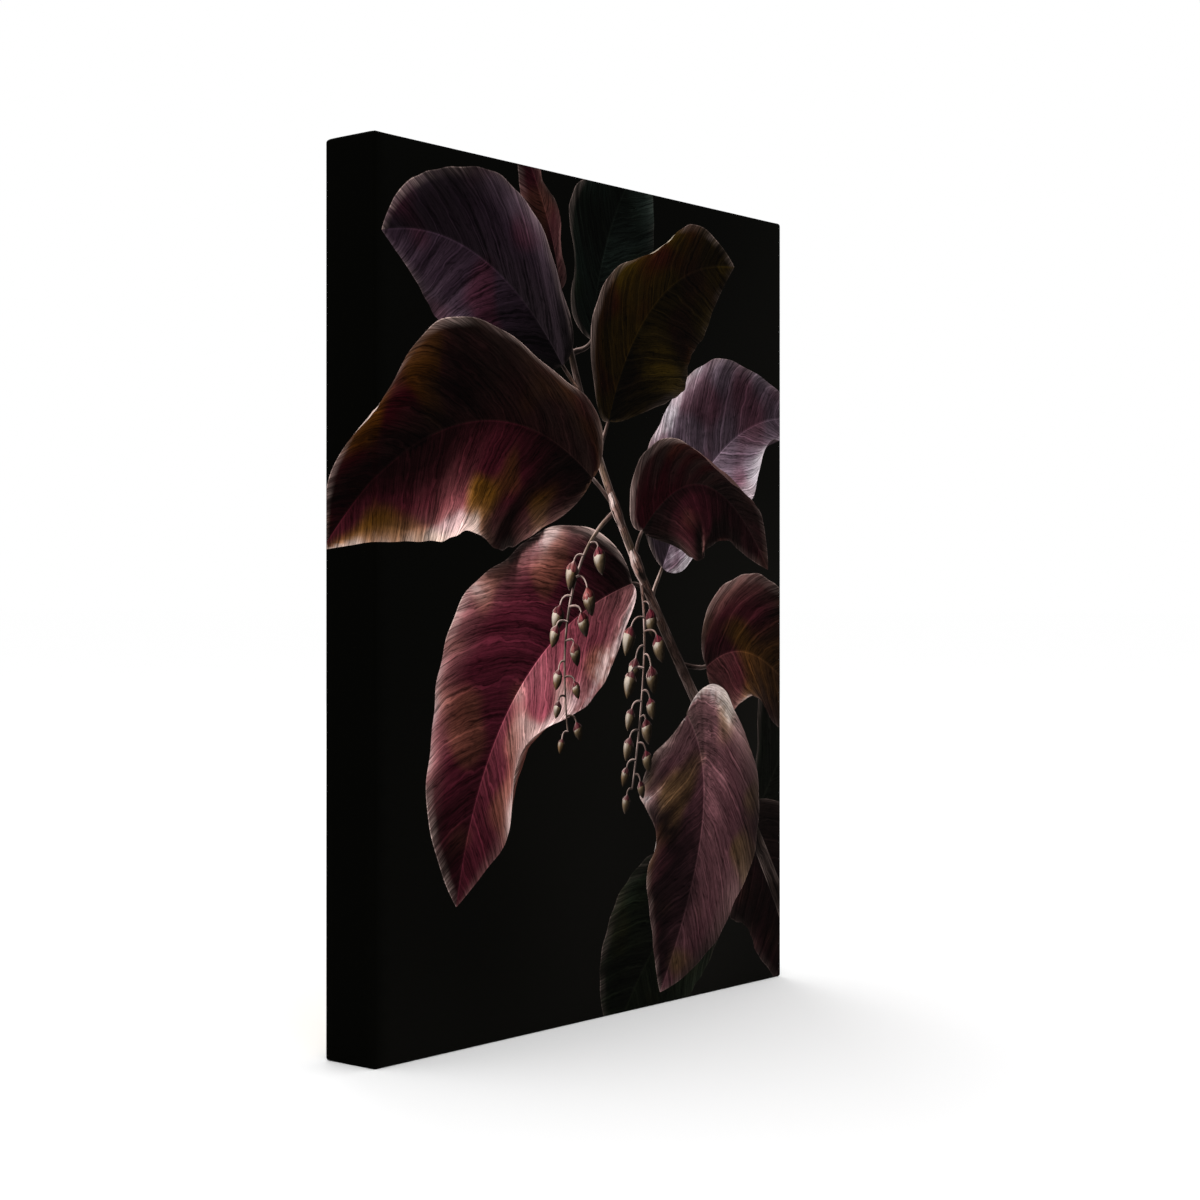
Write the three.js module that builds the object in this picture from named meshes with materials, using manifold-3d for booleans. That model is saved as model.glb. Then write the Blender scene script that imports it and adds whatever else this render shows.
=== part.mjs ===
// A gallery-wrapped canvas print, 300 x 400 mm and 31 mm deep.
//
// One canvas sheet is pulled round a pine stretcher frame and stapled to its back. The frame is four identical
// mitred bars, joined at each corner by a tongue and a slot in two layers, and spread by two wooden keys. A
// sawtooth hanger on the top bar and two bumpers at the bottom hold the print parallel to the wall.
//
// Millimetres. +X is right and +Z is up for someone who looks at the picture, which faces -Y. The wall is the
// plane y = 0. The origin is the hanging point: the notch of the hanger's middle tooth, on the wall plane.

import * as THREE from "three";
import { mergeVertices } from "three/addons/utils/BufferGeometryUtils.js";
import Module from "manifold-3d";

const wasm = await Module();
wasm.setup();

// Driving dimensions. Faces that touch share values that are exact in binary, so that they meet with no overlap.
const pictureWidth = 300;
const pictureHeight = 400;
const barDepth = 30;
const barWidth = 22;
const clothThickness = 0.5;
const standoff = 2.5; // from the folded canvas to the wall
const hangDrop = 15; // from the picture's top edge to the hanging point

// The canvas sheet
const edgeRadius = 1.5; // outside of the canvas where it bends round the frame
const edgeSegments = 4;
const innerChamfer = 0.5;
const flapWidth = 20; // of canvas turned over the back of the bars
const earReach = 38; // how far a folded corner ear runs down the side flap
const earInset = 2; // from the picture's corner to the ear's outer point

// The stretcher bars
const woodWidth = pictureWidth - 2 * clothThickness;
const woodHeight = pictureHeight - 2 * clothThickness;
const beadWidth = 5; // the front bead, the only part of a bar that the picture's face touches
const bevelDrop = 3.5; // how far the front slopes back from the canvas behind the bead
const barChamfer = 0.75;
const innerRound = 1.5;

// The corner joint: a tongue and a slot at each end of a bar, in two layers measured from the bar's front
const layerThickness = 3;
const layerStart = { near: 11, far: 16 };
const tongueShort = 0.5; // the tongue ends this far inside the neighbour's outer face

// The keys: flat wedges with one straight side along a bar and one that slopes at 1 in 8
const keyThickness = 2.5;
const keySlope = 1 / 8;
const keyHeadWidth = 7.5;
const keyHeadReach = 12; // from the neighbour's inner face to the head, inside the frame
const keyTipGap = 2; // from the tip to the neighbour's outer face
const keyLength = keyHeadReach + barWidth - keyTipGap;

// Staples
const stapleCrown = 11;
const stapleWire = 0.5;
const stapleWireWidth = 1.25;
const stapleLeg = 8;
const stapleHoleEase = 0.125; // clearance round a leg in its hole
const stapleInset = 11; // from the picture's edge to the row of staples
const topStapleX = [-118, -82, -46, 46, 82, 118];
const bottomStapleX = [-96, -64, -32, 0, 32, 64, 96];
const sideStapleZ = [-152, -114, -76, -38, 0, 38, 76, 114, 152]; // from the picture's middle
const earStapleFromSide = 14;
const earStapleFromEnd = 18;

// The sawtooth hanger and its nails
const hangerLength = 45;
const hangerHeight = 9;
const hangerPlate = 0.75;
const hangerTab = 7; // length of each end tab
const hangerRamp = 2; // length of each slope between a tab and the raised middle
const toothPitch = 3;
const toothDepth = 1.5;
const toothCount = 9;
const nailShankRadius = 0.6;
const nailHoleRadius = 0.75;
const nailHeadRadius = 1.75;
const nailHeadHeight = 0.9;
const nailLength = 10;
const roundSides = 16;

// The bumpers
const bumperRadius = 4.75;
const bumperFaceRadius = 3;
const bumperWall = 1;
const bumperX = 128;
const bumperInset = 10; // from the picture's bottom edge

// Levels worked out from the dimensions above
const clothBack = -standoff; // back of the folded flap
const barBack = clothBack - clothThickness;
const barFront = barBack - barDepth;
const clothFront = barFront - clothThickness;
const earBack = clothBack + clothThickness;
const pictureTop = hangDrop;
const pictureBottom = hangDrop - pictureHeight;
const pictureMiddle = (pictureTop + pictureBottom) / 2;

// Materials
const printedCanvas = new THREE.MeshStandardMaterial({ color: 0x120d10, roughness: 0.85, metalness: 0 });
const pine = new THREE.MeshStandardMaterial({ color: 0xd6ad75, roughness: 0.6, metalness: 0 });
const beech = new THREE.MeshStandardMaterial({ color: 0xc08f5c, roughness: 0.6, metalness: 0 });
const stapleSteel = new THREE.MeshStandardMaterial({ color: 0xb9bcc0, roughness: 0.35, metalness: 1 });
const zincSteel = new THREE.MeshStandardMaterial({ color: 0xc9c3b4, roughness: 0.35, metalness: 1 });
const blackRubber = new THREE.MeshStandardMaterial({ color: 0x2b2b2c, roughness: 0.4, metalness: 0 });

const print = new THREE.Group();

function addMesh(name, geometry, material, parent = print) {
  const mesh = new THREE.Mesh(geometry, material);
  mesh.name = name;
  parent.add(mesh);
  return mesh;
}

// A closed geometry as a manifold-3d solid, and back.
function toSolid(geometry) {
  const bare = new THREE.BufferGeometry();
  bare.setAttribute("position", geometry.getAttribute("position"));
  if (geometry.index) bare.setIndex(geometry.index);
  const merged = mergeVertices(bare, 1e-4);
  const triVerts = new Uint32Array(merged.index.array);
  const vertProperties = new Float32Array(merged.attributes.position.array);
  return new wasm.Manifold(new wasm.Mesh({ numProp: 3, vertProperties, triVerts }));
}

function toGeometry(solid) {
  const mesh = solid.getMesh();
  const geometry = new THREE.BufferGeometry();
  geometry.setAttribute("position", new THREE.BufferAttribute(new Float32Array(mesh.vertProperties), 3));
  geometry.setIndex(new THREE.BufferAttribute(new Uint32Array(mesh.triVerts), 1));
  geometry.computeVertexNormals();
  return geometry;
}

function addSolid(name, solid, material, parent) {
  return addMesh(name, toGeometry(solid), material, parent);
}

function outline(points) {
  return new THREE.Shape(points.map(([a, b]) => new THREE.Vector2(a, b)));
}

function extrude(shape, depth) {
  return new THREE.ExtrudeGeometry(shape, { depth, bevelEnabled: false, curveSegments: edgeSegments });
}

// Turns a geometry so that its own x, y and z axes lie along three given directions.
function turned(geometry, xTo, yTo, zTo) {
  const basis = new THREE.Matrix4().makeBasis(
    new THREE.Vector3(...xTo), new THREE.Vector3(...yTo), new THREE.Vector3(...zTo));
  return geometry.applyMatrix4(basis);
}

// Prisms: an outline in one plane, carried along the third axis from one level to another.
function prismAlongY(shape, front, back) {
  const geometry = turned(extrude(shape, back - front), [1, 0, 0], [0, 0, 1], [0, -1, 0]);
  return geometry.translate(0, back, 0); // the outline holds x and z
}

function prismAlongX(shape, left, right) {
  const geometry = turned(extrude(shape, right - left), [0, 1, 0], [0, 0, 1], [1, 0, 0]);
  return geometry.translate(left, 0, 0); // the outline holds y and z
}

function prismAlongZ(shape, low, high) {
  return extrude(shape, high - low).translate(0, 0, low); // the outline holds x and y
}

function rectangle(left, low, right, high) {
  return outline([[left, low], [right, low], [right, high], [left, high]]);
}

function roundedRectangle(left, low, right, high, radius) {
  const shape = new THREE.Shape();
  shape.moveTo(left + radius, low);
  shape.lineTo(right - radius, low);
  shape.absarc(right - radius, low + radius, radius, -Math.PI / 2, 0, false);
  shape.lineTo(right, high - radius);
  shape.absarc(right - radius, high - radius, radius, 0, Math.PI / 2, false);
  shape.lineTo(left + radius, high);
  shape.absarc(left + radius, high - radius, radius, Math.PI / 2, Math.PI, false);
  shape.lineTo(left, low + radius);
  shape.absarc(left + radius, low + radius, radius, Math.PI, 1.5 * Math.PI, false);
  return shape;
}

function chamferedRectangle(left, low, right, high, cut) {
  return outline([
    [left + cut, low], [right - cut, low], [right, low + cut], [right, high - cut],
    [right - cut, high], [left + cut, high], [left, high - cut], [left, low + cut],
  ]);
}

// A box whose twelve edges are all shaped alike: three prisms, each with the shaped outline, and what they share.
function edgedBox(shaped, x, y, z, size) {
  const acrossX = toSolid(prismAlongX(shaped(y[0], z[0], y[1], z[1], size), x[0], x[1]));
  const acrossY = toSolid(prismAlongY(shaped(x[0], z[0], x[1], z[1], size), y[0], y[1]));
  const acrossZ = toSolid(prismAlongZ(shaped(x[0], y[0], x[1], y[1], size), z[0], z[1]));
  return acrossX.intersect(acrossY).intersect(acrossZ);
}

// Staples. Each is a U of flat wire: a crown along x on the canvas, and two chisel-tipped legs into the bar.
// A place gives the staple's middle, its turn in the plane of the back, and the level that its crown lies on.
function staplePlaces() {
  const places = [];
  const add = (name, x, z, turn, level) => places.push({ name, x, z, turn, level });
  topStapleX.forEach((x, i) => add(`staple_top_${i + 1}`, x, pictureTop - stapleInset, 0, clothBack));
  bottomStapleX.forEach((x, i) => add(`staple_bottom_${i + 1}`, x, pictureBottom + stapleInset, 0, clothBack));
  const sideX = pictureWidth / 2 - stapleInset;
  sideStapleZ.forEach((z, i) => {
    add(`staple_left_${i + 1}`, -sideX, pictureMiddle + z, Math.PI / 2, clothBack);
    add(`staple_right_${i + 1}`, sideX, pictureMiddle + z, Math.PI / 2, clothBack);
  });
  return places;
}

function staple() {
  const half = stapleCrown / 2;
  const inner = half - stapleWire;
  const shape = outline([
    [-half, stapleWire], [-half, -stapleLeg + stapleWire], [-inner, -stapleLeg], [-inner, 0],
    [inner, 0], [inner, -stapleLeg], [half, -stapleLeg + stapleWire], [half, stapleWire],
  ].reverse());
  return prismAlongZ(shape, -stapleWireWidth / 2, stapleWireWidth / 2);
}

function placed(geometry, place) {
  return geometry.rotateY(place.turn).translate(place.x, place.level, place.z);
}

function legHoles(place) {
  const reach = stapleCrown / 2;
  return [-1, 1].map((side) => {
    const outer = side * (reach + stapleHoleEase);
    const inner = side * (reach - stapleWire - stapleHoleEase);
    const shape = rectangle(
      Math.min(outer, inner), -stapleLeg - stapleHoleEase, Math.max(outer, inner), 2 * clothThickness);
    const halfWidth = stapleWireWidth / 2 + stapleHoleEase;
    return toSolid(placed(prismAlongZ(shape, -halfWidth, halfWidth), place));
  });
}

function addStaples(places) {
  for (const place of places) {
    addMesh(place.name, placed(staple(), place), stapleSteel);
  }
}

// The nails of the hanger stand on its end tabs.
const nailX = hangerLength / 2 - hangerTab / 2;
const hangerLow = -toothDepth; // the notches lie at z = 0
const hangerMiddle = hangerLow + hangerHeight / 2;

function nailHole(x) {
  const hole = new THREE.CylinderGeometry(nailHoleRadius, nailHoleRadius, 2 * nailLength, roundSides);
  return toSolid(hole.translate(x, clothBack, hangerMiddle));
}

function nail() {
  const shankTop = hangerPlate;
  const dome = 3;
  const profile = [new THREE.Vector2(0, -nailLength + shankTop)];
  profile.push(new THREE.Vector2(nailShankRadius, -nailLength + shankTop + 2 * nailShankRadius));
  profile.push(new THREE.Vector2(nailShankRadius, shankTop));
  profile.push(new THREE.Vector2(nailHeadRadius, shankTop));
  for (let i = 1; i <= dome; i += 1) {
    const angle = (i / dome) * (Math.PI / 2);
    const radius = i === dome ? 0 : nailHeadRadius * Math.cos(angle);
    profile.push(new THREE.Vector2(radius, shankTop + nailHeadHeight * Math.sin(angle)));
  }
  return new THREE.LatheGeometry(profile, roundSides);
}

// A strap whose middle is raised to the wall plane, with teeth along the lower edge of that middle.
function hanger() {
  const end = hangerLength / 2;
  const tab = end - hangerTab;
  const raised = tab - hangerRamp;
  const low = clothBack;
  const strap = outline([
    [-end, low], [-tab, low], [-raised, -hangerPlate], [raised, -hangerPlate], [tab, low], [end, low],
    [end, low + hangerPlate], [tab, low + hangerPlate], [raised, 0], [-raised, 0],
    [-tab, low + hangerPlate], [-end, low + hangerPlate],
  ]);
  let solid = toSolid(prismAlongZ(strap, hangerLow, hangerLow + hangerHeight));
  for (let i = 0; i < toothCount; i += 1) {
    const x = (i - (toothCount - 1) / 2) * toothPitch;
    const notch = outline([[x - toothPitch / 2, -toothDepth], [x + toothPitch / 2, -toothDepth], [x, 0]]);
    solid = solid.subtract(toSolid(prismAlongY(notch, -standoff, 1)));
  }
  return solid.subtract(nailHole(-nailX)).subtract(nailHole(nailX));
}

function addHanger() {
  addSolid("hanger", hanger(), zincSteel);
  for (const [side, x] of [["left", -nailX], ["right", nailX]]) {
    const mesh = addMesh(`hanger_nail_${side}`, nail(), zincSteel);
    mesh.position.set(x, clothBack, hangerMiddle);
  }
}

// A domed bumper with a flat face to the wall.
function bumper() {
  const profile = [new THREE.Vector2(0, 0), new THREE.Vector2(bumperRadius, 0)];
  const steps = 3;
  for (let i = 0; i <= steps; i += 1) {
    const angle = (i / steps) * (Math.PI / 2);
    const radius = bumperFaceRadius + (bumperRadius - bumperFaceRadius) * Math.cos(angle);
    profile.push(new THREE.Vector2(radius, bumperWall + (standoff - bumperWall) * Math.sin(angle)));
  }
  profile.push(new THREE.Vector2(0, standoff));
  return new THREE.LatheGeometry(profile, 24);
}

function addBumpers() {
  for (const [side, x] of [["left", -bumperX], ["right", bumperX]]) {
    const mesh = addMesh(`bumper_${side}`, bumper(), blackRubber);
    mesh.position.set(x, clothBack, pictureBottom + bumperInset);
  }
}

// The canvas: a tray of cloth with its rim turned in over the back, and an ear of doubled cloth at each corner.
function earOutline(sideX, sideZ) {
  const cornerX = sideX * (pictureWidth / 2);
  const cornerZ = pictureMiddle + sideZ * (pictureHeight / 2);
  const at = (fromSide, fromEnd) => [cornerX - sideX * fromSide, cornerZ - sideZ * fromEnd];
  const points = [at(earInset, earInset), at(flapWidth, flapWidth), at(flapWidth, earReach)];
  return outline(sideX * sideZ > 0 ? points : points.reverse());
}

function earStaplePlaces() {
  return [[-1, -1], [-1, 1], [1, -1], [1, 1]].map(([sideX, sideZ]) => ({
    name: `staple_corner_${sideZ > 0 ? "top" : "bottom"}_${sideX > 0 ? "right" : "left"}`,
    x: sideX * (pictureWidth / 2 - earStapleFromSide),
    z: pictureMiddle + sideZ * (pictureHeight / 2 - earStapleFromEnd),
    turn: sideX * sideZ * (-Math.PI / 4),
    level: earBack,
  }));
}

function canvasSheet(holes) {
  const halfWidth = pictureWidth / 2;
  const outer = edgedBox(roundedRectangle,
    [-halfWidth, halfWidth], [clothFront, clothBack], [pictureBottom, pictureTop], edgeRadius);
  const inner = edgedBox(chamferedRectangle,
    [-woodWidth / 2, woodWidth / 2], [barFront, barBack],
    [pictureBottom + clothThickness, pictureTop - clothThickness], innerChamfer);
  const open = toSolid(prismAlongY(rectangle(
    -halfWidth + flapWidth, pictureBottom + flapWidth, halfWidth - flapWidth, pictureTop - flapWidth),
    barBack - barDepth / 2, 0));
  let sheet = outer.subtract(inner).subtract(open);
  for (const sideX of [-1, 1]) {
    for (const sideZ of [-1, 1]) {
      const ear = prismAlongY(earOutline(sideX, sideZ), clothBack - clothThickness / 2, earBack);
      sheet = sheet.add(toSolid(ear));
    }
  }
  return holes.reduce((left, hole) => left.subtract(hole), sheet);
}

// A stretcher bar, drawn as the top one: its outer face at z = 0, its front at y = 0, centred on x.
function barSection() {
  return outline([
    [0, -barChamfer], [barChamfer, 0], [barDepth - barChamfer, 0], [barDepth, -barChamfer],
    [barDepth, -barWidth + innerRound], [barDepth - innerRound, -barWidth],
    [bevelDrop + innerRound, -barWidth], [bevelDrop, -barWidth + innerRound], [0, -beadWidth],
  ].reverse());
}

function layerPrism(points, layer) {
  const start = layerStart[layer];
  return toSolid(prismAlongY(outline(points), start, start + layerThickness));
}

function bar(length) {
  const end = length / 2;
  const cut = barChamfer / 2; // half of the chamfer on the frame's corner, which two bars share
  const mitre = outline([
    [-end + 2 * cut, 0], [-end + cut, -cut], [-end + barWidth, -barWidth],
    [end - barWidth, -barWidth], [end - cut, -cut], [end - 2 * cut, 0],
  ]);
  let solid = toSolid(prismAlongX(barSection(), -end, end));
  solid = solid.intersect(toSolid(prismAlongY(mitre, -1, barDepth + 1)));
  const slotAtInner = keyHeadWidth - keySlope * keyHeadReach;
  const slotAtOuter = slotAtInner - keySlope * barWidth;
  for (const [side, tongueLayer, slotLayer] of [[1, "near", "far"], [-1, "far", "near"]]) {
    const at = (fromEnd, z) => [side * (end - fromEnd), z];
    const wound = (points) => (side > 0 ? points : points.slice().reverse());
    const slot = wound([
      at(barWidth + slotAtInner, -barWidth - 1), at(-1, -barWidth - 1), at(-1, 1),
      at(barWidth + slotAtOuter, 1), at(barWidth + slotAtOuter, 0), at(barWidth + slotAtInner, -barWidth)]);
    const tongue = wound([
      at(barWidth, -barWidth), at(tongueShort, -barWidth), at(tongueShort, -tongueShort),
      at(barWidth / 2, -barWidth / 4), at(barWidth + 1, -barWidth + innerRound)]);
    solid = solid.subtract(layerPrism(slot, slotLayer)).add(layerPrism(tongue, tongueLayer));
  }
  return solid;
}

// The places of the four bars: each is the top bar, turned about y round the picture's middle.
const barPlaces = [
  { name: "top", turn: 0, length: woodWidth, reach: woodHeight / 2 },
  { name: "right", turn: 1, length: woodHeight, reach: woodWidth / 2 },
  { name: "bottom", turn: 2, length: woodWidth, reach: woodHeight / 2 },
  { name: "left", turn: 3, length: woodHeight, reach: woodWidth / 2 },
];

function barMatrix(place) {
  const quarter = new THREE.Matrix4().makeRotationY((place.turn * Math.PI) / 2);
  const outwards = new THREE.Matrix4().makeTranslation(0, barFront, place.reach);
  const middle = new THREE.Matrix4().makeTranslation(0, 0, pictureMiddle);
  return middle.multiply(quarter).multiply(outwards);
}

function addBars(holes) {
  for (const place of barPlaces) {
    const geometry = toGeometry(bar(place.length)).applyMatrix4(barMatrix(place));
    const solid = holes.reduce((left, hole) => left.subtract(hole), toSolid(geometry));
    addSolid(`stretcher_${place.name}`, solid, pine);
  }
}

// The keys of one corner, drawn with the bar whose right end is at that corner as the top one. The first lies
// along that bar, in the neighbour's slot. The second lies along the neighbour, in that bar's slot.
function keyOutline(end) {
  const tip = end - keyTipGap;
  const head = tip - keyLength;
  const tipWidth = keyHeadWidth - keySlope * keyLength;
  return [[tip, -barWidth], [tip, -barWidth - tipWidth], [head, -barWidth - keyHeadWidth], [head, -barWidth]];
}

function addKeys() {
  const ease = (layerThickness - keyThickness) / 2;
  const inLayer = (points, layer) => {
    const start = layerStart[layer] + ease;
    return prismAlongY(outline(points), start, start + keyThickness);
  };
  for (const place of barPlaces) {
    const end = place.length / 2;
    const along = keyOutline(end).reverse();
    const across = keyOutline(end).map(([a, b]) => [end + b, a - end]);
    const matrix = barMatrix(place);
    addMesh(`key_${place.name}_along`, inLayer(along, "near").applyMatrix4(matrix), beech);
    addMesh(`key_${place.name}_across`, inLayer(across, "far").applyMatrix4(matrix), beech);
  }
}

const staples = [...staplePlaces(), ...earStaplePlaces()];
const holes = [...staples.flatMap(legHoles), nailHole(-nailX), nailHole(nailX)];

addSolid("canvas", canvasSheet(holes), printedCanvas);
addBars(holes);
addKeys();
addStaples(staples);
addHanger();
addBumpers();

export default print;
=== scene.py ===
"""A gallery-wrapped canvas print: the finished cloth, its printed spray of leaves, and the frame behind it.

The cloth is laid out flat first, as a cross of front, sides and flaps. The picture is a small scene of curved
leaves, lit and shaded in code, whose outlines cut the flat cloth into triangles. The cloth is then folded
round the frame. The layout and the picture are in millimetres from the picture's centre, with x right and z
up, and meshes are in metres.
"""
import math
import random
from collections import namedtuple

import bmesh
import bpy
import numpy as np
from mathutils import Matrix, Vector, noise
from mathutils.bvhtree import BVHTree
from mathutils.geometry import delaunay_2d_cdt
from mathutils.kdtree import KDTree


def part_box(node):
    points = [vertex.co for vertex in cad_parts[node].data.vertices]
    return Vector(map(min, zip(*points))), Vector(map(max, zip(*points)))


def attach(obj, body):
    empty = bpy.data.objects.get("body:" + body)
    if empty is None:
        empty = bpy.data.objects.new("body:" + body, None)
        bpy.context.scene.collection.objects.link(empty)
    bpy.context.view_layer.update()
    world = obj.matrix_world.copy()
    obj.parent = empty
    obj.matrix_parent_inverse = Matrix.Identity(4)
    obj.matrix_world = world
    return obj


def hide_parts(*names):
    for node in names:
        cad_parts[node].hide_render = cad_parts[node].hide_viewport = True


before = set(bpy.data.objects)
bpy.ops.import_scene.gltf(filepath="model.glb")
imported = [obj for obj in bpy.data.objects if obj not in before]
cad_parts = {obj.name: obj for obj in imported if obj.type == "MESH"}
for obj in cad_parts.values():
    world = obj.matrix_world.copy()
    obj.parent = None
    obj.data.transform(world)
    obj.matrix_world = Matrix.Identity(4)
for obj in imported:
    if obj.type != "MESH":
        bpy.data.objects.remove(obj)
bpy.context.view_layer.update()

MM = 0.001

# The folded cloth
canvas_low, canvas_high = (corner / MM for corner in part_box("canvas"))
HALF_WIDTH = (canvas_high.x - canvas_low.x) / 2
HALF_HEIGHT = (canvas_high.z - canvas_low.z) / 2
MIDDLE_Z = (canvas_high.z + canvas_low.z) / 2
FRONT_Y = canvas_low.y
CLOTH = 0.5
DEPTH = 31.0
EDGE_RADIUS = 1.5
ARC_STEPS = 4
FLAP = 20.0
EAR_REACH = 38.0
EAR_INSET = 2.0
EAR_DROP = 0.5

# How far the back's cloth stands off what it lies on: the ears, the flaps between staples and at their cut
# edges, and the pleats beside the corner seams
EAR_LIFT = 0.55
FLAP_LIFT = 0.22
FRILL_LIFT = 0.45
PLEAT_LIFT = 0.3
# How wide the ears' rounded edges are, and how far the pleats reach from a seam and the slack's dimples and
# frills from a staple
EAR_EDGE = 2.2
PLEAT_REACH = 2.4
DIMPLE_REACH = 2.2
FRILL_REACH = 9.0

# Distances along the cloth, outwards from the edge of the front's flat part
ARC = EDGE_RADIUS * math.pi / 2
SIDE_END = ARC + DEPTH - 2 * EDGE_RADIUS
BACK_START = SIDE_END + ARC
CUT_EDGE = BACK_START + FLAP - EDGE_RADIUS
PRINT_EDGE = BACK_START + 7.0
FLAT_X = HALF_WIDTH - EDGE_RADIUS
FLAT_Z = HALF_HEIGHT - EDGE_RADIUS

# The spacing of the cloth's points: on its cut edge, along its folds, and over its parts
EDGE_SPACING = 3.0
FOLD_SPACING = 5.0
SPRAY_SPACING = 1.7
FLAP_SPACING = 2.8
GROUND_SPACING = 7.0
INNER_FOLD_SPACING = 12.0
INNER_SPACING = 14.0
INNER_MARGIN = 4.0
# How far the grids reach past the flaps' cut edge, for the ears
EAR_ROOM = 20.0
# Shares of a triangular grid's spacing: from row to row, and how near to a line its points may lie
ROW_STEP = 0.866
NEAREST_TO_LINE = 0.45

# The bake layout's unit square. The threads lie one to a pixel of a 1024 pixel map of it, so that a baked map
# shows no coarse beat. The inner face is drawn in where the bars hide it
BAKE_SPAN = 530.0
THREAD = BAKE_SPAN / 1024
BAR_COVER = 19.0
HIDDEN_SCALE = 0.12
BAKE_MARGIN = 0.004
RIM_WIDTH = 1.5
# The inner face's width and its middle, as shares of the column beside the outer face
INNER_WIDTH = 0.94
INNER_MIDDLE = 0.48

LUMINANCE = np.array([0.21, 0.72, 0.07])
QUARTER_TURN = 1.571
# A distance from the midrib at which it doesn't show
NO_MIDRIB = 9


# ------------------------------------------------ Small tools

def colour(text):
    """A colour written as six hex digits, as linear light."""
    parts = [int(text[i:i + 2], 16) / 255 for i in (0, 2, 4)]
    return np.array([c / 12.92 if c <= 0.04045 else ((c + 0.055) / 1.055) ** 2.4 for c in parts])


def smooth(value, low, high):
    t = np.clip((value - low) / (high - low), 0, 1)
    return t * t * (3 - 2 * t)


def unit(vectors):
    return vectors / np.maximum(np.linalg.norm(vectors, axis=-1, keepdims=True), 1e-9)


def new_object(name, data):
    piece = bpy.data.objects.new(name, data)
    bpy.context.scene.collection.objects.link(piece)
    return piece


def mesh_of(bm, name):
    """The mesh of a bmesh, which it frees."""
    mesh = bpy.data.meshes.new(name)
    bm.to_mesh(mesh)
    bm.free()
    return mesh


def plain_mesh(piece):
    """A plain mesh of what a piece's modifiers make."""
    graph = bpy.context.evaluated_depsgraph_get()
    return bpy.data.meshes.new_from_object(piece.evaluated_get(graph))


def shade_smooth(mesh, sharpest):
    """Smooth shading across every edge that turns by less than this many degrees."""
    mesh.polygons.foreach_set("use_smooth", np.ones(len(mesh.polygons), bool))
    mesh.set_sharp_from_angle(angle=math.radians(sharpest))


def dress(piece, nodes):
    """Puts a finished piece on the frame in place of these nodes."""
    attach(piece, "root")
    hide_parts(*nodes)
    return piece


# ------------------------------------------------ The cloth: its flat layout, and how it folds

def past_edge(e, lift):
    """How far out and how deep the folded cloth is, e past the edge of the front's flat part."""
    r = EDGE_RADIUS + lift
    front = np.clip(e, 0, ARC) / EDGE_RADIUS
    back = np.clip(e - SIDE_END, 0, ARC) / EDGE_RADIUS
    out = np.where(e < SIDE_END, r * np.sin(front), r * np.cos(back))
    deep = EDGE_RADIUS - r * np.cos(front) + np.clip(e - ARC, 0, SIDE_END - ARC)
    deep = deep + np.where(e > SIDE_END, r * np.sin(back), 0)
    return np.where(e > BACK_START, BACK_START - e, out), deep


def fold(flat, lift):
    """Takes points of the flat layout, and their height above the cloth's face, to their place in metres."""
    a, b = flat[:, 0], flat[:, 1]
    past_x = np.abs(a) - FLAT_X
    past_z = np.abs(b) - FLAT_Z
    on_side = past_x > 1e-6
    on_end = ~on_side & (past_z > 1e-6)
    out, deep = past_edge(np.where(on_side, past_x, np.where(on_end, past_z, 0)), lift)
    # The sides' cloth turns the frame's corners too, as far as the ends of the picture
    bend = np.maximum(out * EDGE_RADIUS / (EDGE_RADIUS + lift), 1e-6)
    turn = np.where(on_side & (past_z > 0), np.clip(past_z / bend, 0, math.pi / 2), 0)
    x = np.where(on_side, FLAT_X + out * np.cos(turn), np.abs(a))
    z = np.where(on_side, np.minimum(np.abs(b), FLAT_Z) + out * np.sin(turn), np.abs(b))
    z = np.where(on_end, FLAT_Z + out, z)
    deep = np.where(on_side | on_end, deep, -lift)
    placed = np.stack([np.sign(a) * x, FRONT_Y + deep, MIDDLE_Z + np.sign(b) * z], axis=1)
    return placed * MM


def farthest_past(points):
    """How far past the edge of the front's flat part each point of the layout lies."""
    return np.maximum(np.abs(points[:, 0]) - FLAT_X, np.abs(points[:, 1]) - FLAT_Z)


def corner_allowance(e):
    """How much of the side's cloth goes round the frame's corner, e past the front's edge."""
    out, _ = past_edge(np.array([e]), 0.0)
    return max(float(out[0]), 0.0) * math.pi / 2


def arc_levels():
    """The distances past the edge at which the bends are divided."""
    steps = [ARC * i / ARC_STEPS for i in range(ARC_STEPS + 1)]
    return steps + [SIDE_END + s for s in steps]


def between(start, end, spacing):
    """Points from start up to but not including end, about one spacing apart."""
    start, end = np.array(start, float), np.array(end, float)
    count = max(1, round(float(np.linalg.norm(end - start)) / spacing))
    return [tuple(start + (end - start) * i / count) for i in range(count)]


def divided(line, spacing):
    points = []
    for start, end in zip(line, line[1:]):
        points += between(start, end, spacing)
    return points + [line[-1]]


def all_quarters(quarter):
    """The closed line, anticlockwise, whose part in the upper right quarter is given."""
    upper = quarter + [(-x, z) for x, z in reversed(quarter)]
    return list(dict.fromkeys(upper + [(-x, -z) for x, z in upper]))


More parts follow.
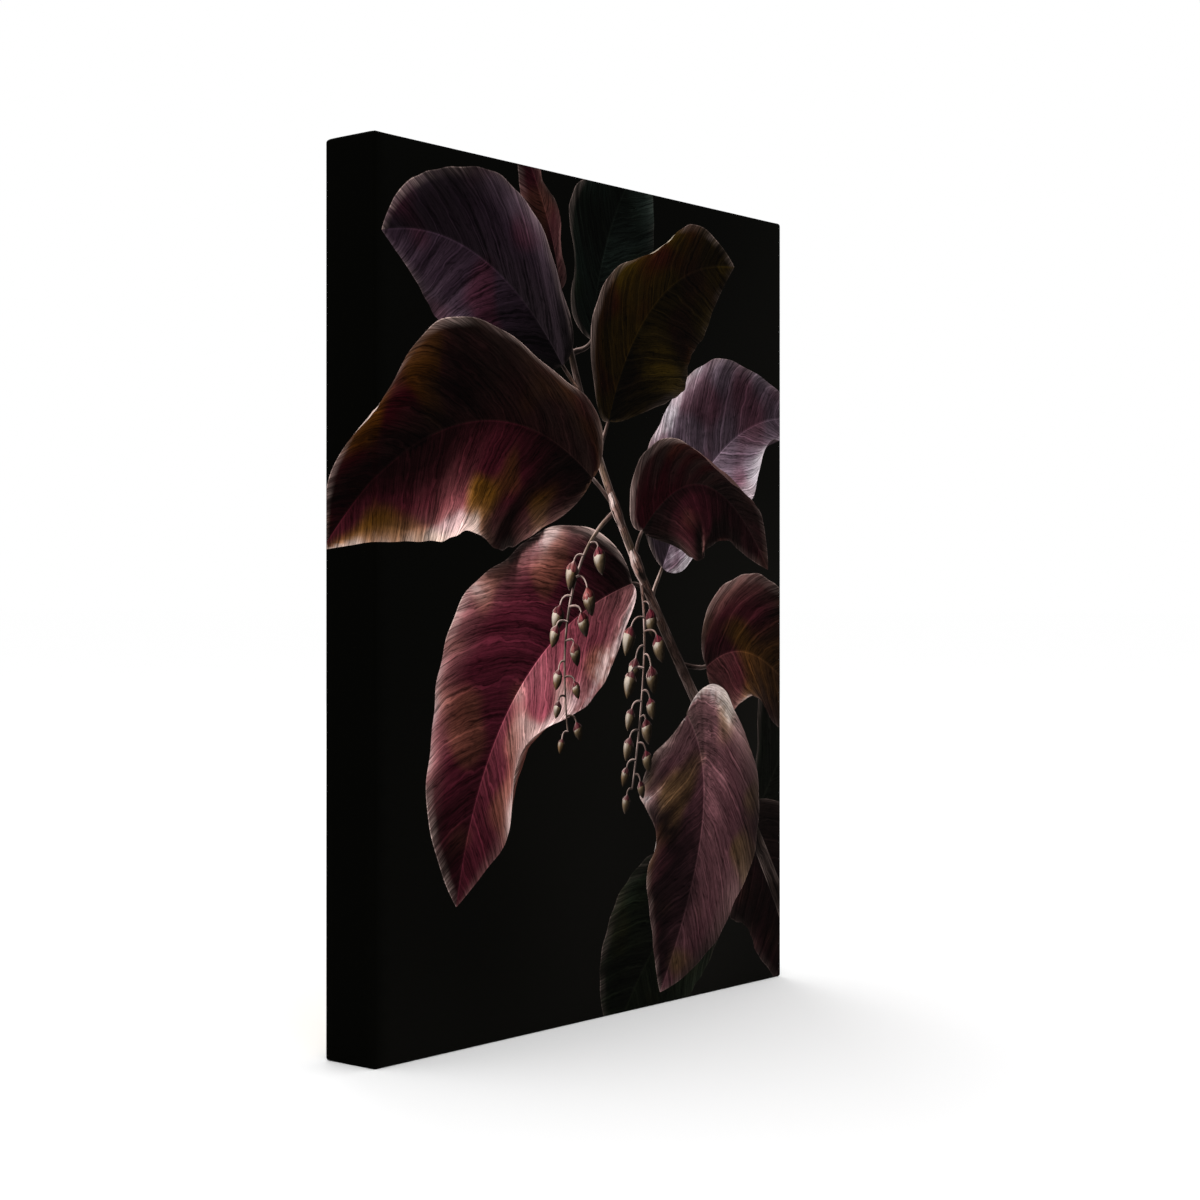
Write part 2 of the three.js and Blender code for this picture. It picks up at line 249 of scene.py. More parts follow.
def cloth_outline():
    """The cut edge of the flat cloth, with its corner ears and the cloth that turns each corner."""
    levels = arc_levels()
    flap_z = FLAT_Z + BACK_START
    ear_x = HALF_WIDTH - FLAP
    quarter = [(FLAT_X + CUT_EDGE, 0.0), (FLAT_X + CUT_EDGE, FLAT_Z - (CUT_EDGE - BACK_START))]
    quarter += [(FLAT_X + e, FLAT_Z + corner_allowance(e)) for e in reversed(levels)]
    quarter += [(FLAT_X, FLAT_Z + e) for e in levels[1:]]
    quarter += [(HALF_WIDTH - EAR_INSET, flap_z + EAR_DROP), (ear_x, flap_z + EAR_REACH - EDGE_RADIUS)]
    quarter += [(ear_x, FLAT_Z + CUT_EDGE), (0.0, FLAT_Z + CUT_EDGE)]
    corners = all_quarters(quarter)
    return divided(corners + corners[:1], EDGE_SPACING)[:-1]


def fold_lines():
    """The lines where the cloth bends, and the line where its print ends."""
    lines = []
    for e in arc_levels():
        reach = FLAT_Z + corner_allowance(e)
        lines.append([(FLAT_X + e, -reach), (FLAT_X + e, reach)])
        lines.append([(-FLAT_X, FLAT_Z + e), (FLAT_X, FLAT_Z + e)])
    for part in (0.0, 0.25, 0.5, 0.75):
        for low, high in ((0, ARC), (ARC, SIDE_END), (SIDE_END, BACK_START)):
            ends = [e for e in arc_levels() if low - 1e-6 <= e <= high + 1e-6 and corner_allowance(e) > 1e-6]
            lines.append([(FLAT_X + e, FLAT_Z + corner_allowance(e) * part) for e in ends])
            lines.append([(FLAT_X + e, -FLAT_Z - corner_allowance(e) * part) for e in ends])
    bare = PRINT_EDGE - BACK_START
    side_reach = FLAT_Z - bare
    end_reach = HALF_WIDTH - EAR_INSET - bare * (FLAP - EAR_INSET) / (EAR_REACH - EDGE_RADIUS - EAR_DROP)
    lines.append([(FLAT_X + PRINT_EDGE, -side_reach), (FLAT_X + PRINT_EDGE, side_reach)])
    lines.append([(-end_reach, FLAT_Z + PRINT_EDGE), (end_reach, FLAT_Z + PRINT_EDGE)])
    return lines + [[(-a, -b) for a, b in line] for line in lines]


def printed_area():
    """The part of the layout that the picture may reach, a little inside the print's edge."""
    # How far the picture keeps from the corners, on side flaps and end flaps, and from the corner seams
    side_end, end_end, clear = 8, 16, 0.3
    e = PRINT_EDGE - 1.0
    x, z = FLAT_X - clear, FLAT_Z - clear
    return all_quarters([(FLAT_X + e, FLAT_Z - side_end), (FLAT_X + BACK_START, z), (x, z),
                         (x, FLAT_Z + BACK_START), (FLAT_X - end_end, FLAT_Z + e)])


def cut_area():
    """The area of the flat cut, in square millimetres."""
    points = np.array(cloth_outline())
    after = np.roll(points, -1, axis=0)
    return abs(float((points[:, 0] * after[:, 1] - points[:, 1] * after[:, 0]).sum())) / 2


def inside(points, outline):
    """Which of the points lie inside a closed outline."""
    x, y = points[:, 0], points[:, 1]
    found = np.zeros(len(points), bool)
    for (x0, y0), (x1, y1) in zip(outline, outline[1:] + outline[:1]):
        crosses = (y0 > y) != (y1 > y)
        if y0 != y1:
            found ^= crosses & (x < (x1 - x0) * (y - y0) / (y1 - y0) + x0)
    return found


# ------------------------------------------------ The picture: surfaces of a leafy spray
# Its axes are x to the right, y up and z towards the viewer.

def inks(*tints):
    """The inks of one kind of surface: in deep shade, on its body, in flushed patches and on its lit rim."""
    return np.array([colour(tint) for tint in tints])


WINE = inks("24080f", "682a36", "8f6a38", "e0b8aa")
BURGUNDY = inks("260b12", "6a2c3a", "8a5a4c", "dcb2aa")
ROSE = inks("3a1a26", "93646c", "a3875c", "f0d8cc")
PLUM = inks("170d16", "4e3c4a", "6a3a4a", "c4acb8")
MAUVE = inks("1e1420", "85717e", "84505e", "e2d0da")
OLIVE = inks("22140c", "75602f", "74333a", "e4c896")
MOSS = inks("12180f", "46543a", "5a5430", "a4b4a0")
SAGE = inks("101612", "5f7068", "4c5a40", "c2d0c6")
TWIG = inks("140c0c", "735850", "5a4c34", "e4ccb8")
CUP = inks("24080f", "6c2b36", "7c4440", "e0b8aa")
CREAM = inks("2a1d14", "a08a70", "8a6a4a", "ecdcc0")

# Each leaf: where on the stem it grows, where its blade starts and ends, how its midrib bows, its half width,
# its roll about the midrib at base and tip, how far its halves fold up, the curl of its left and right halves
# (how much, where along it and over how long), its inks and how much light it gets. Back to front
Leaf = namedtuple("Leaf", "at start end bow half roll fold left right tone light")
LEAVES = [
    Leaf(0.22, (130, -108, -8), (180, 30, -20), (26, 4, 10), 42, (20, 34), 14,
         (0.4, 0.5, 0.4), (-0.5, 0.6, 0.4), MOSS, 0.85),
    Leaf(0.2, (100, -130, -8), (10, -214, -20), (-22, 2, 12), 42, (-20, -6), 16,
         (0.4, 0.5, 0.4), (-0.6, 0.6, 0.4), MOSS, 0.5),
    Leaf(0.93, (-6, 124, -8), (38, 224, -30), (-12, 4, 10), 38, (30, 10), 18,
         (0.5, 0.5, 0.4), (0.3, 0.6, 0.4), SAGE, 0.4),
    Leaf(0.6, (48, 16, -4), (172, 96, -24), (-10, 34, 24), 50, (-24, -40), 24,
         (-0.6, 0.6, 0.35), (0.7, 0.7, 0.3), MAUVE, 1.15),
    Leaf(0.8, (6, 86, -2), (108, 172, 0), (-16, 26, 28), 45, (30, 8), 26,
         (0.8, 0.6, 0.3), (-0.7, 0.5, 0.4), OLIVE, 1.0),
    Leaf(0.3, (108, -112, 0), (158, -214, 6), (20, 14, 24), 42, (26, 4), 24,
         (0.6, 0.5, 0.4), (-0.9, 0.6, 0.4), BURGUNDY, 0.7),
    Leaf(0.5, (84, -34, -2), (186, -74, 0), (2, 34, 30), 42, (-10, -26), 28,
         (-0.7, 0.6, 0.35), (0.8, 0.6, 0.3), WINE, 0.95),
    Leaf(0.99, (-30, 146, 0), (-58, 212, 20), (6, 6, 12), 15, (-20, -30), 40,
         (0.5, 0.5, 0.4), (0.3, 0.6, 0.4), BURGUNDY, 0.8),
    Leaf(0.88, (-28, 110, 0), (-146, 158, 6), (0, 32, 26), 46, (-30, -14), 26,
         (0.9, 0.65, 0.3), (-0.7, 0.4, 0.4), PLUM, 1.1),
    Leaf(0.72, (-6, 58, 2), (-182, 22, 6), (-2, 56, 42), 60, (-22, -8), 30,
         (0.7, 0.6, 0.35), (0.9, 0.7, 0.3), WINE, 1.1),
    Leaf(0.58, (24, 8, 2), (-100, -136, 4), (-36, 28, 46), 56, (26, 6), 30,
         (1.2, 0.62, 0.3), (-0.8, 0.5, 0.4), BURGUNDY, 1.0),
    Leaf(0.44, (68, -58, 2), (46, -194, 16), (36, 12, 48), 54, (16, 10), 32,
         (-0.7, 0.5, 0.35), (1.3, 0.66, 0.3), ROSE, 1.15),
    Leaf(0.66, (32, 34, 4), (138, 16, 30), (2, 46, 48), 42, (22, 40), 30,
         (0.7, 0.6, 0.3), (-1.0, 0.5, 0.4), BURGUNDY, 1.0),
]
LEAF_ROWS, LEAF_COLUMNS = 120, 44
SIDE_VEINS = 8.5
# How a blade narrows towards its base and its tip, how far its tip wanders and how far back it hooks, and how
# much its edge wavers, in long waves and in short ones
BASE_TAPER, TIP_TAPER = 0.6, 0.92
TIP_WANDER, TIP_HOOK = 5, -16.0
LONG_WAVER, SHORT_WAVER = 0.012, 0.008
# How much a blade waves along its edge and ripples between its veins, in radians, and bulges there, in mm
LEAF_WAVE, LEAF_RIPPLE, LEAF_BULGE = 0.42, 0.10, 0.7
LEAF_STALK_RADII = (1.9, 1.3, 1.1)

# Hanging strings of buds: where on the stem each hangs, where it ends, its sway, how many buds and their size
BudString = namedtuple("BudString", "at end sway buds size")
STRINGS = [
    BudString(0.74, (-24, -62, 34), (-32, 4, 22), 12, 1.08),
    BudString(0.66, (24, -92, 40), (12, 2, 26), 14, 1.15),
]
STRING_RADII = (1.5, 0.95, 0.8, 0.6)
# How far along its string the first bud grows, and how much smaller the last one is
FIRST_BUD = 0.2
BUD_SHRINK = 0.62
# Where the stem swells round a string's root, as shares of its length, and the shares of its own radius there
SWELLING_AT = (-0.024, -0.008, 0.008, 0.024)
SWELLING = (0.8, 1.25, 1.3, 0.8)
# A bud of size 1: how far it stands off its string, its stalk, its drop with its shares of the radius, and
# the cup over it. The points of both their middle lines lie this far below the neck
BUD_REACH = 8.5
BUD_STALK_RADII = (0.55, 0.5)
BUD_RADIUS = 3.9
DROP_LINE = (0.0, 3.8, 7.6, 11.5)
DROP = [math.sin(math.pi * (i / 12) ** 0.72) ** 0.75 for i in range(13)]
CUP_LINE = (-1.2, 0.0, 1.6, 3.2)
CUP_RADII = (0.55, 1.5, 2.9, 3.8, 4.05)

STEM = [(176, -212, -8), (112, -70, 0), (10, 0, 2), (-30, 142, 2)]
STEM_RADII = (5.2, 2.0)
STEM_LIGHT = 2.2
STEM_LAYER = 17
# The leaves from this one on grow in front of the stem, and the strings hang in front of them all
FIRST_IN_FRONT = 8
STRING_LAYER = 60
STRING_LIFT = 38
# The numbers of the surfaces: the leaves count from 1, and the others from these
FIRST_STALK, STEM_NUMBER, FIRST_STRING, STRING_PIECES = 100, 200, 300, 200
STALK_COLUMNS = 17

KEY_LIGHT = unit(np.array([-0.66, 0.58, 0.46]))
# The middle of the pool of light and how far it reaches, and the share of the light that is left outside it
LIGHT_POOL = (-30.0, 20.0)
LIGHT_POOL_REACH = 135.0
OUTSIDE_POOL = 0.16
# The tone curve: what the shades are scaled by, what the lights have more, and between which brightnesses.
# Then how rich the colour is, what the lights lose of that, and between which greys
SHADE_GAIN, LIGHT_GAIN, GAIN_RANGE = 0.42, 1.3, (0.062, 0.27)
RICHNESS, RICHNESS_LOSS, RICHNESS_RANGE = 1.32, 0.8, (0.04, 0.28)
# How far off other surfaces cast a shadow and close in the air, and how far from its own surface a ray starts
SHADOW_REACH = 500.0
AIR_REACH = 70.0
CLEAR_OF_SURFACE = 0.6
# How much the ink takes of the key light, of the light from all round on its body and in its depths, of the
# light that comes through a leaf, of its gloss, and of the light that grazes a leaf's turned edges
DIRECT, FILL, DEEP_FILL, THROUGH, GLOSS, GRAZE = 1.9, 0.05, 0.35, 1.2, 0.15, 0.62
# How far apart the layers lie, for the light and for the eye
LAYER_LIFT = 3.0
LAYER_GAP = 400.0
# How wide the patches of flush and the clouds of the ground's glow are
PATCH_SIZE = 24.0
CLOUD_SIZE = 95.0
# The ink of the left side face, darker than the front's ground, then the ground's own ink and its glow
LEFT_SIDE_INK = colour("020201")
GROUND_INK = colour("040403")
GROUND_GLOW = colour("12110f")
# How much the finer veins and the lit rims show on each kind of surface
VEIN_SHOW = {"leaf": 1.0, "stalk": 1.6, "bud": 0.3}
RIM_SHOW = {"leaf": 1.0, "stalk": 1.3, "bud": 0.2}


def curve_points(controls, s):
    """Points of the cubic curve with these four control points."""
    p0, p1, p2, p3 = (np.array(p, float) for p in controls)
    s = np.atleast_1d(np.asarray(s, float))[:, None]
    r = 1 - s
    return r ** 3 * p0 + 3 * r * r * s * p1 + 3 * r * s * s * p2 + s ** 3 * p3


def frame_along(line):
    """For each point of a line: its direction, the direction that faces the viewer and the one beside it."""
    ahead = unit(np.gradient(line, axis=0))
    facing = unit(np.array([0, 0, 1.0]) - ahead * ahead[:, 2:3])
    return ahead, facing, np.cross(ahead, facing)


def length_of(line):
    return float(np.linalg.norm(np.diff(line, axis=0), axis=1).sum())


def grid_normals(points):
    return np.cross(np.gradient(points, axis=0), np.gradient(points, axis=1))


class Surface:
    """A grid of points of one surface of the picture, with what its ink needs at each of them.

    The facts are: the share of its length and of its width, the distance across and along its fibres, the
    phase of its side veins, the distances to its edge and its midrib, and how far its edge there turns to the
    light. Its owner is the number that gives it mottling of its own.
    """

    def __init__(self, kind, owner, layer, lift, points, normals, facts, tone, light):
        self.kind, self.owner, self.tone, self.light = kind, owner, tone, light
        self.layer, self.lift = layer, lift
        self.rows, self.columns = points.shape[:2]
        self.points = points.reshape(-1, 3)
        self.normals = unit(normals.reshape(-1, 3))
        self.facts = np.stack([f + np.zeros(points.shape[:2]) for f in facts], axis=2).reshape(-1, len(facts))

    def triangles(self, first):
        r, c = np.meshgrid(np.arange(self.rows - 1), np.arange(self.columns - 1), indexing="ij")
        corner = (first + r * self.columns + c).ravel()
        one = np.stack([corner, corner + 1, corner + self.columns + 1], axis=1)
        two = np.stack([corner, corner + self.columns + 1, corner + self.columns], axis=1)
        return np.concatenate([one, two])

    def lines(self):
        """The lines that the cloth's triangles follow: its edges, its middle and its turned rims."""
        grid = self.points.reshape(self.rows, self.columns, 3)[:, :, :2]
        found = [grid[:, 0], grid[:, -1]]
        if self.kind != "leaf":
            quarter, middle = self.columns // 4, self.columns // 2
            return found + [grid[:, quarter], grid[:, middle], grid[:, -1 - quarter]]
        toward = self.normals[:, 2].reshape(self.rows, self.columns)
        run = []
        for r in range(self.rows):
            turned = np.flatnonzero(toward[r, :-1] * toward[r, 1:] < 0)
            turned = turned[turned > 1]
            if not len(turned):
                found.append(run)
                run = []
                continue
            c = turned[0]
            share = toward[r, c] / (toward[r, c] - toward[r, c + 1])
            run.append(grid[r, c] + (grid[r, c + 1] - grid[r, c]) * share)
        found.append(run)
        return [np.array(line) for line in found if len(line) > 1]


def leaf_halves(leaf, number, layer):
    """The two half blades of a leaf, each from its midrib out to its edge."""
    draw = random.Random(number * 31 + 7)
    start, end, bow = (np.array(p, float) for p in (leaf.start, leaf.end, leaf.bow))
    hook = np.array([draw.uniform(-TIP_WANDER, TIP_WANDER), draw.uniform(-TIP_WANDER, TIP_WANDER), TIP_HOOK])
    s = (1 - np.cos(np.linspace(0, math.pi, LEAF_ROWS))) / 2
    near, far = start + (end - start) * 0.33 + bow, start + (end - start) * 0.7 + bow * 0.8 + hook
    rib = curve_points([start, near, far, end], s)
    length = length_of(rib)
    _, facing, beside = frame_along(rib)
    roll = np.radians(leaf.roll[0] + (leaf.roll[1] - leaf.roll[0]) * s)[:, None]
    up = facing * np.cos(roll) + beside * np.sin(roll)
    beside = beside * np.cos(roll) - facing * np.sin(roll)
    width = s ** BASE_TAPER * (1 - s) ** TIP_TAPER
    width = leaf.half * width / width.max()
    s = s[:, None]
    t = np.linspace(0, 1, LEAF_COLUMNS)[None, :]
    halves = []
    for side, (curl, where, spread) in zip((-1, 1), (leaf.left, leaf.right)):
        waves, phase = draw.uniform(1.6, 2.6), draw.uniform(0, 6.28)
        waver = LONG_WAVER * np.sin(s * 31 + phase), SHORT_WAVER * np.sin(s * 73 + 2 * phase)
        w = width[:, None] * (1 + waver[0] + waver[1])
        veins = SIDE_VEINS * (s - 0.8 * w * t / length * (1 + 0.3 * t))
        # How steeply the blade rises on its way out: its fold, its curl, its waves and its ripples
        angle = math.radians(leaf.fold) * (1 - 0.6 * s) + curl * np.exp(-((s - where) / spread) ** 2) * t ** 2
        angle = angle + LEAF_WAVE * np.sin(2 * math.pi * waves * s + phase) * t ** 1.5
        angle = angle + LEAF_RIPPLE * np.cos(2 * math.pi * veins * 0.5 + phase) * t * (1 - 0.6 * t)
        middle = (angle[:, 1:] + angle[:, :-1]) / 2
        step = 1.0 / (LEAF_COLUMNS - 1)
        out, rise = (np.pad(np.cumsum(part, axis=1) * step, ((0, 0), (1, 0)))
                     for part in (np.cos(middle), np.sin(middle)))
        points = rib[:, None] + (side * w * out)[:, :, None] * beside[:, None]
        points = points + (w * rise)[:, :, None] * up[:, None]
        bulge = LEAF_BULGE * np.cos(2 * math.pi * veins) * t * (1.2 - t) * smooth(w, 4.0, 16.0)
        points = points + bulge[:, :, None] * unit(grid_normals(points) * -side)
        outward = unit(np.gradient(points, axis=1)) @ KEY_LIGHT
        facts = (s, t, veins * (length / SIDE_VEINS), w * t, veins, w * (1 - t), w * t * side, outward)
        halves.append(Surface("leaf", number, layer, LAYER_LIFT * layer, points, grid_normals(points) * -side,
                              facts, leaf.tone, leaf.light))
    return halves


def stalk(controls, radii, number, layer, lift, tone=TWIG, kind="stalk", light=1.0, rows=60):
    """A round stem along a curve. Its radii are spread evenly along it."""
    s = np.linspace(0, 1, rows)
    line = curve_points(controls, s)
    ahead, facing, beside = frame_along(line)
    radius = np.interp(s, np.linspace(0, 1, len(radii)), radii)[:, None]
    turn = np.linspace(-math.pi / 2, math.pi / 2, STALK_COLUMNS)[None, :]
    round_it = beside[:, None] * np.sin(turn)[:, :, None] + facing[:, None] * np.cos(turn)[:, :, None]
    points = line[:, None] + round_it * radius[:, :, None]
    slope = np.gradient(radius[:, 0]) / np.maximum(np.linalg.norm(np.gradient(line, axis=0), axis=1), 1e-6)
    normals = round_it - ahead[:, None] * np.clip(slope, -3, 3)[:, None, None]
    along = s[:, None] * length_of(line)
    outward = (beside[:, None] * np.sign(turn)[:, :, None]) @ KEY_LIGHT
    # It has no side veins, and its midrib is too far off to show
    facts = (s[:, None], np.abs(turn) / QUARTER_TURN, turn * radius, along, 0,
             radius * (1 - np.abs(np.sin(turn))), NO_MIDRIB, outward)
    return Surface(kind, number, layer, lift, points, normals, facts, tone, light)


def bud_string(string, number, layer, lift):
    """A hanging string of small drop-shaped buds, each on its own short stalk and in its own small cup.

    The numbers and layers of its pieces follow on from its own.
    """
    draw = random.Random(number * 17)
    root = curve_points(STEM, string.at)[0]
    end, sway = np.array(string.end, float), np.array(string.sway, float)
    controls = [root, root + (end - root) * 0.25 + sway, root + (end - root) * 0.7 + sway * 0.5, end]
    made = [stalk(controls, STRING_RADII, number, layer, lift)]
    # The stem swells where the string grows from it
    swelling = [curve_points(STEM, string.at + s)[0] for s in SWELLING_AT]
    radii = [np.interp(string.at, (0, 1), STEM_RADII) * share for share in SWELLING]
    made.append(stalk(swelling, radii, number + 130, layer + 50, lift, light=STEM_LIGHT, rows=16))
    last = string.buds - 1
    for i in range(string.buds):
        s = FIRST_BUD + (1 - FIRST_BUD) * (i + draw.uniform(-0.3, 0.3) * (0 < i < last)) / last
        size = string.size * (1.25 - BUD_SHRINK * s) * draw.uniform(0.88, 1.1)
        place = curve_points(controls, s)[0]
        way = (-1 if i % 2 else 1) * draw.uniform(0.45, 1.15)
        aside = np.array([way, draw.uniform(-0.9, -0.2), draw.uniform(0.0, 1.0)])
        neck = place + aside * BUD_REACH * size
        hang = unit(np.array([way * 0.35, -1.0, draw.uniform(-0.1, 0.35)]))
        mid = place + np.array([aside[0] * 6.0, 1.5, aside[2] * 5.0]) * size
        line = [place, mid, neck + np.array([0, 2.5, 0]), neck]
        made.append(stalk(line, BUD_STALK_RADII, number + 1 + i, layer + 3 * i + 1, lift, rows=14))
        line = [neck + hang * down * size for down in DROP_LINE]
        radii = [BUD_RADIUS * size * share for share in DROP]
        made.append(stalk(line, radii, number + 40 + i, layer + 3 * i + 2, lift, CREAM, "bud", 0.8, 22))
        line = [neck + hang * down * size for down in CUP_LINE]
        radii = [size * radius for radius in CUP_RADII]
        made.append(stalk(line, radii, number + 80 + i, layer + 3 * i + 3, lift, CUP, rows=10))
    return made


def picture_surfaces():
    """Every surface of the picture, from back to front."""
    surfaces = []
    for index, leaf in enumerate(LEAVES):
        # The leaves' layers leave room for the stem's own
        layer = 2 * index + (4 if index >= FIRST_IN_FRONT else 0)
        foot = curve_points(STEM, leaf.at)[0]
        start, end = np.array(leaf.start, float), np.array(leaf.end, float)
        ahead = unit(end - start + 3 * np.array(leaf.bow, float))
        reach = np.linalg.norm(start - foot)
        root = curve_points(STEM, leaf.at + 0.04)[0] - foot
        controls = [foot, foot + unit(root) * reach * 0.35, start - ahead * reach * 0.4, start + ahead * 3]
        surfaces.append(stalk(controls, LEAF_STALK_RADII, FIRST_STALK + index, layer, LAYER_LIFT * layer,
                              light=leaf.light))
        surfaces += leaf_halves(leaf, index + 1, layer + 1)
    lift = LAYER_LIFT * STEM_LAYER
    surfaces.append(stalk(STEM, STEM_RADII, STEM_NUMBER, STEM_LAYER, lift, light=STEM_LIGHT, rows=120))
    for index, string in enumerate(STRINGS):
        number, layer = FIRST_STRING + STRING_PIECES * index, STRING_LAYER * (index + 1)
        surfaces += bud_string(string, number, layer, LAYER_LIFT * STRING_LIFT)
    return surfaces


class Picture:
    """The picture's surfaces, ready to be looked at and lit."""

    def __init__(self, surfaces):
        self.surfaces = surfaces
        point_counts = [len(s.points) for s in surfaces]
        firsts = np.cumsum([0] + point_counts[:-1])
        triangles = [s.triangles(first) for s, first in zip(surfaces, firsts)]
        self.points, self.normals, self.facts = (
            np.concatenate([getattr(s, name) for s in surfaces]) for name in ("points", "normals", "facts"))
        self.triangles = np.concatenate(triangles)
        self.surface_of = np.repeat(np.arange(len(surfaces)), [len(t) for t in triangles])
        a, b, c = (self.points[self.triangles[:, i], :2] for i in range(3))
        clockwise = (b - a)[:, 0] * (c - a)[:, 1] < (b - a)[:, 1] * (c - a)[:, 0]
        self.side_of = self.surface_of * 2 + clockwise
        # For the eye each layer lies well over the last, and for the light only a little
        self.lit = self.raised([s.lift for s in surfaces], point_counts)
        stacked = self.raised([s.layer * LAYER_GAP for s in surfaces], point_counts)
        faces = self.triangles.tolist()
        self.shade = BVHTree.FromPolygons(self.lit.tolist(), faces, all_triangles=True)
        self.sight = BVHTree.FromPolygons(stacked.tolist(), faces, all_triangles=True)

    def raised(self, heights, counts):
        """The points, with each surface's own lifted towards the viewer by its height."""
        return self.points + np.repeat(heights, counts)[:, None] * np.array([0, 0, 1.0])

    def seen(self, points):
        """For each point of the cloth, the triangle of the nearest surface over it, or -1."""
        down = Vector((0, 0, -1))
        cast = self.sight.ray_cast
        found = [cast(Vector((float(x), float(y), 1e5)), down)[2] for x, y in points]
        return np.array([-1 if f is None else f for f in found])

    def facts_at(self, points, hits):
        """Position, normal and facts at points of the cloth that lie over these triangles."""
        corners = self.triangles[hits]
        a, b, c = (self.points[corners[:, i]] for i in range(3))
        ab, ac, ap = b[:, :2] - a[:, :2], c[:, :2] - a[:, :2], points - a[:, :2]
        area = ab[:, 0] * ac[:, 1] - ab[:, 1] * ac[:, 0]
        area = np.where(np.abs(area) < 1e-9, 1e-9, area)
        wb = np.clip((ap[:, 0] * ac[:, 1] - ap[:, 1] * ac[:, 0]) / area, 0, 1)
        wc = np.clip((ab[:, 0] * ap[:, 1] - ab[:, 1] * ap[:, 0]) / area, 0, 1)
        weights = np.stack([1 - wb - wc, wb, wc], axis=1)[:, :, None]
        place, normal, facts = (
            (values[corners] * weights).sum(axis=1) for values in (self.lit, self.normals, self.facts))
        return place, unit(normal), facts

    def openness(self, places, normals, directions, reach):
        """The share of the directions in which nothing stands in the way."""
        cast = self.shade.ray_cast
        starts = (places + normals * CLEAR_OF_SURFACE).tolist()
        rays = [Vector(d) for d in directions]
        return np.array([sum(cast(Vector(p), d, reach)[2] is None for d in rays) / len(rays) for p in starts])


def light_fan(count, spread, seed):
    """Directions scattered round the key light, as from a window."""
    draw = random.Random(seed)
    fan = [KEY_LIGHT + np.array([draw.gauss(0, spread) for _ in range(3)]) for _ in range(count)]
    return unit(np.array(fan))


def dome(count, seed):
    """Directions spread over the half sphere that faces the viewer."""
    draw = random.Random(seed)
    golden_angle = 2.39996
    found = []
    for i in range(count):
        height = (i + 0.5) / count
        turn = i * golden_angle + draw.uniform(0, 0.5)
        side = math.sqrt(1 - height * height)
        found.append([side * math.cos(turn), side * math.sin(turn), height])
    return np.array(found)


def mottle(points, size, seed):
    """Soft random patches, from 0 to 1."""
    return np.array([noise.noise(Vector((x / size, y / size, seed * 7.31))) for x, y in points]) * 0.5 + 0.5


def pigment(flat, owner, along, across, is_leaf, underside, body, flush, rim):
    """The unlit colour: flushed in patches, dark at a leaf's foot, pale at its edge and on its underside."""
    patches = mottle(flat + owner[:, None] * 37.0, PATCH_SIZE, seed=1.0)
    patches = smooth(patches + 0.16 * (across - 0.5) + 0.1 * (along - 0.5), 0.50, 0.72)[:, None]
    albedo = body + (flush - body) * patches * 0.75
    albedo = albedo * np.where(is_leaf, 0.45 + 0.55 * smooth(along, 0.0, 0.4), 1.0)[:, None]
    albedo = albedo + (rim - albedo) * (0.22 * smooth(across, 0.55, 1.0) * is_leaf)[:, None]
    return np.where(underside & is_leaf[:, None], albedo * 0.5 + rim * 0.22, albedo)


def deepened(lit):
    """Sinks the shades, lifts the lights, and takes colour out of what is brightest."""
    bright = (lit @ LUMINANCE)[:, None]
    lit = lit * (SHADE_GAIN + LIGHT_GAIN * smooth(bright, *GAIN_RANGE))
    grey = (lit @ LUMINANCE)[:, None]
    richness = RICHNESS - RICHNESS_LOSS * smooth(grey, *RICHNESS_RANGE)
    return np.maximum(grey + (lit - grey) * richness, lit * 0.2)


def ground(flat):
    """The dark ground behind the spray: a faint glow towards the lower right, darker on the left side."""
    cloud = mottle(flat, CLOUD_SIZE, seed=4.0)
    side = smooth(flat[:, 0] * 0.6 - flat[:, 1] * 0.5, -100.0, 190.0)
    share = (np.clip(side * (0.25 + 1.2 * cloud), 0, 1) * 0.75)[:, None]
    front = smooth(flat[:, 0], -FLAT_X - 6.0, -FLAT_X + 6.0)[:, None]
    inked = GROUND_INK + (GROUND_GLOW - GROUND_INK) * share
    return LEFT_SIDE_INK + (inked - LEFT_SIDE_INK) * front


def light_on(picture, flat, place, normal, light):
    """How far points face the key light, how much of it reaches them, and how open the air over them is."""
    facing = normal @ KEY_LIGHT
    lit_side = np.where((facing < 0)[:, None], -normal, normal)
    shadow = picture.openness(place, lit_side, light_fan(count=16, spread=0.15, seed=3), SHADOW_REACH)
    open_air = picture.openness(place, normal, dome(count=12, seed=5), AIR_REACH)
    reach = np.hypot(flat[:, 0] - LIGHT_POOL[0], flat[:, 1] - LIGHT_POOL[1]) / LIGHT_POOL_REACH
    pool = OUTSIDE_POOL + (1 - OUTSIDE_POOL) * np.exp(-reach ** 2)
    return facing, shadow * (pool * light), open_air


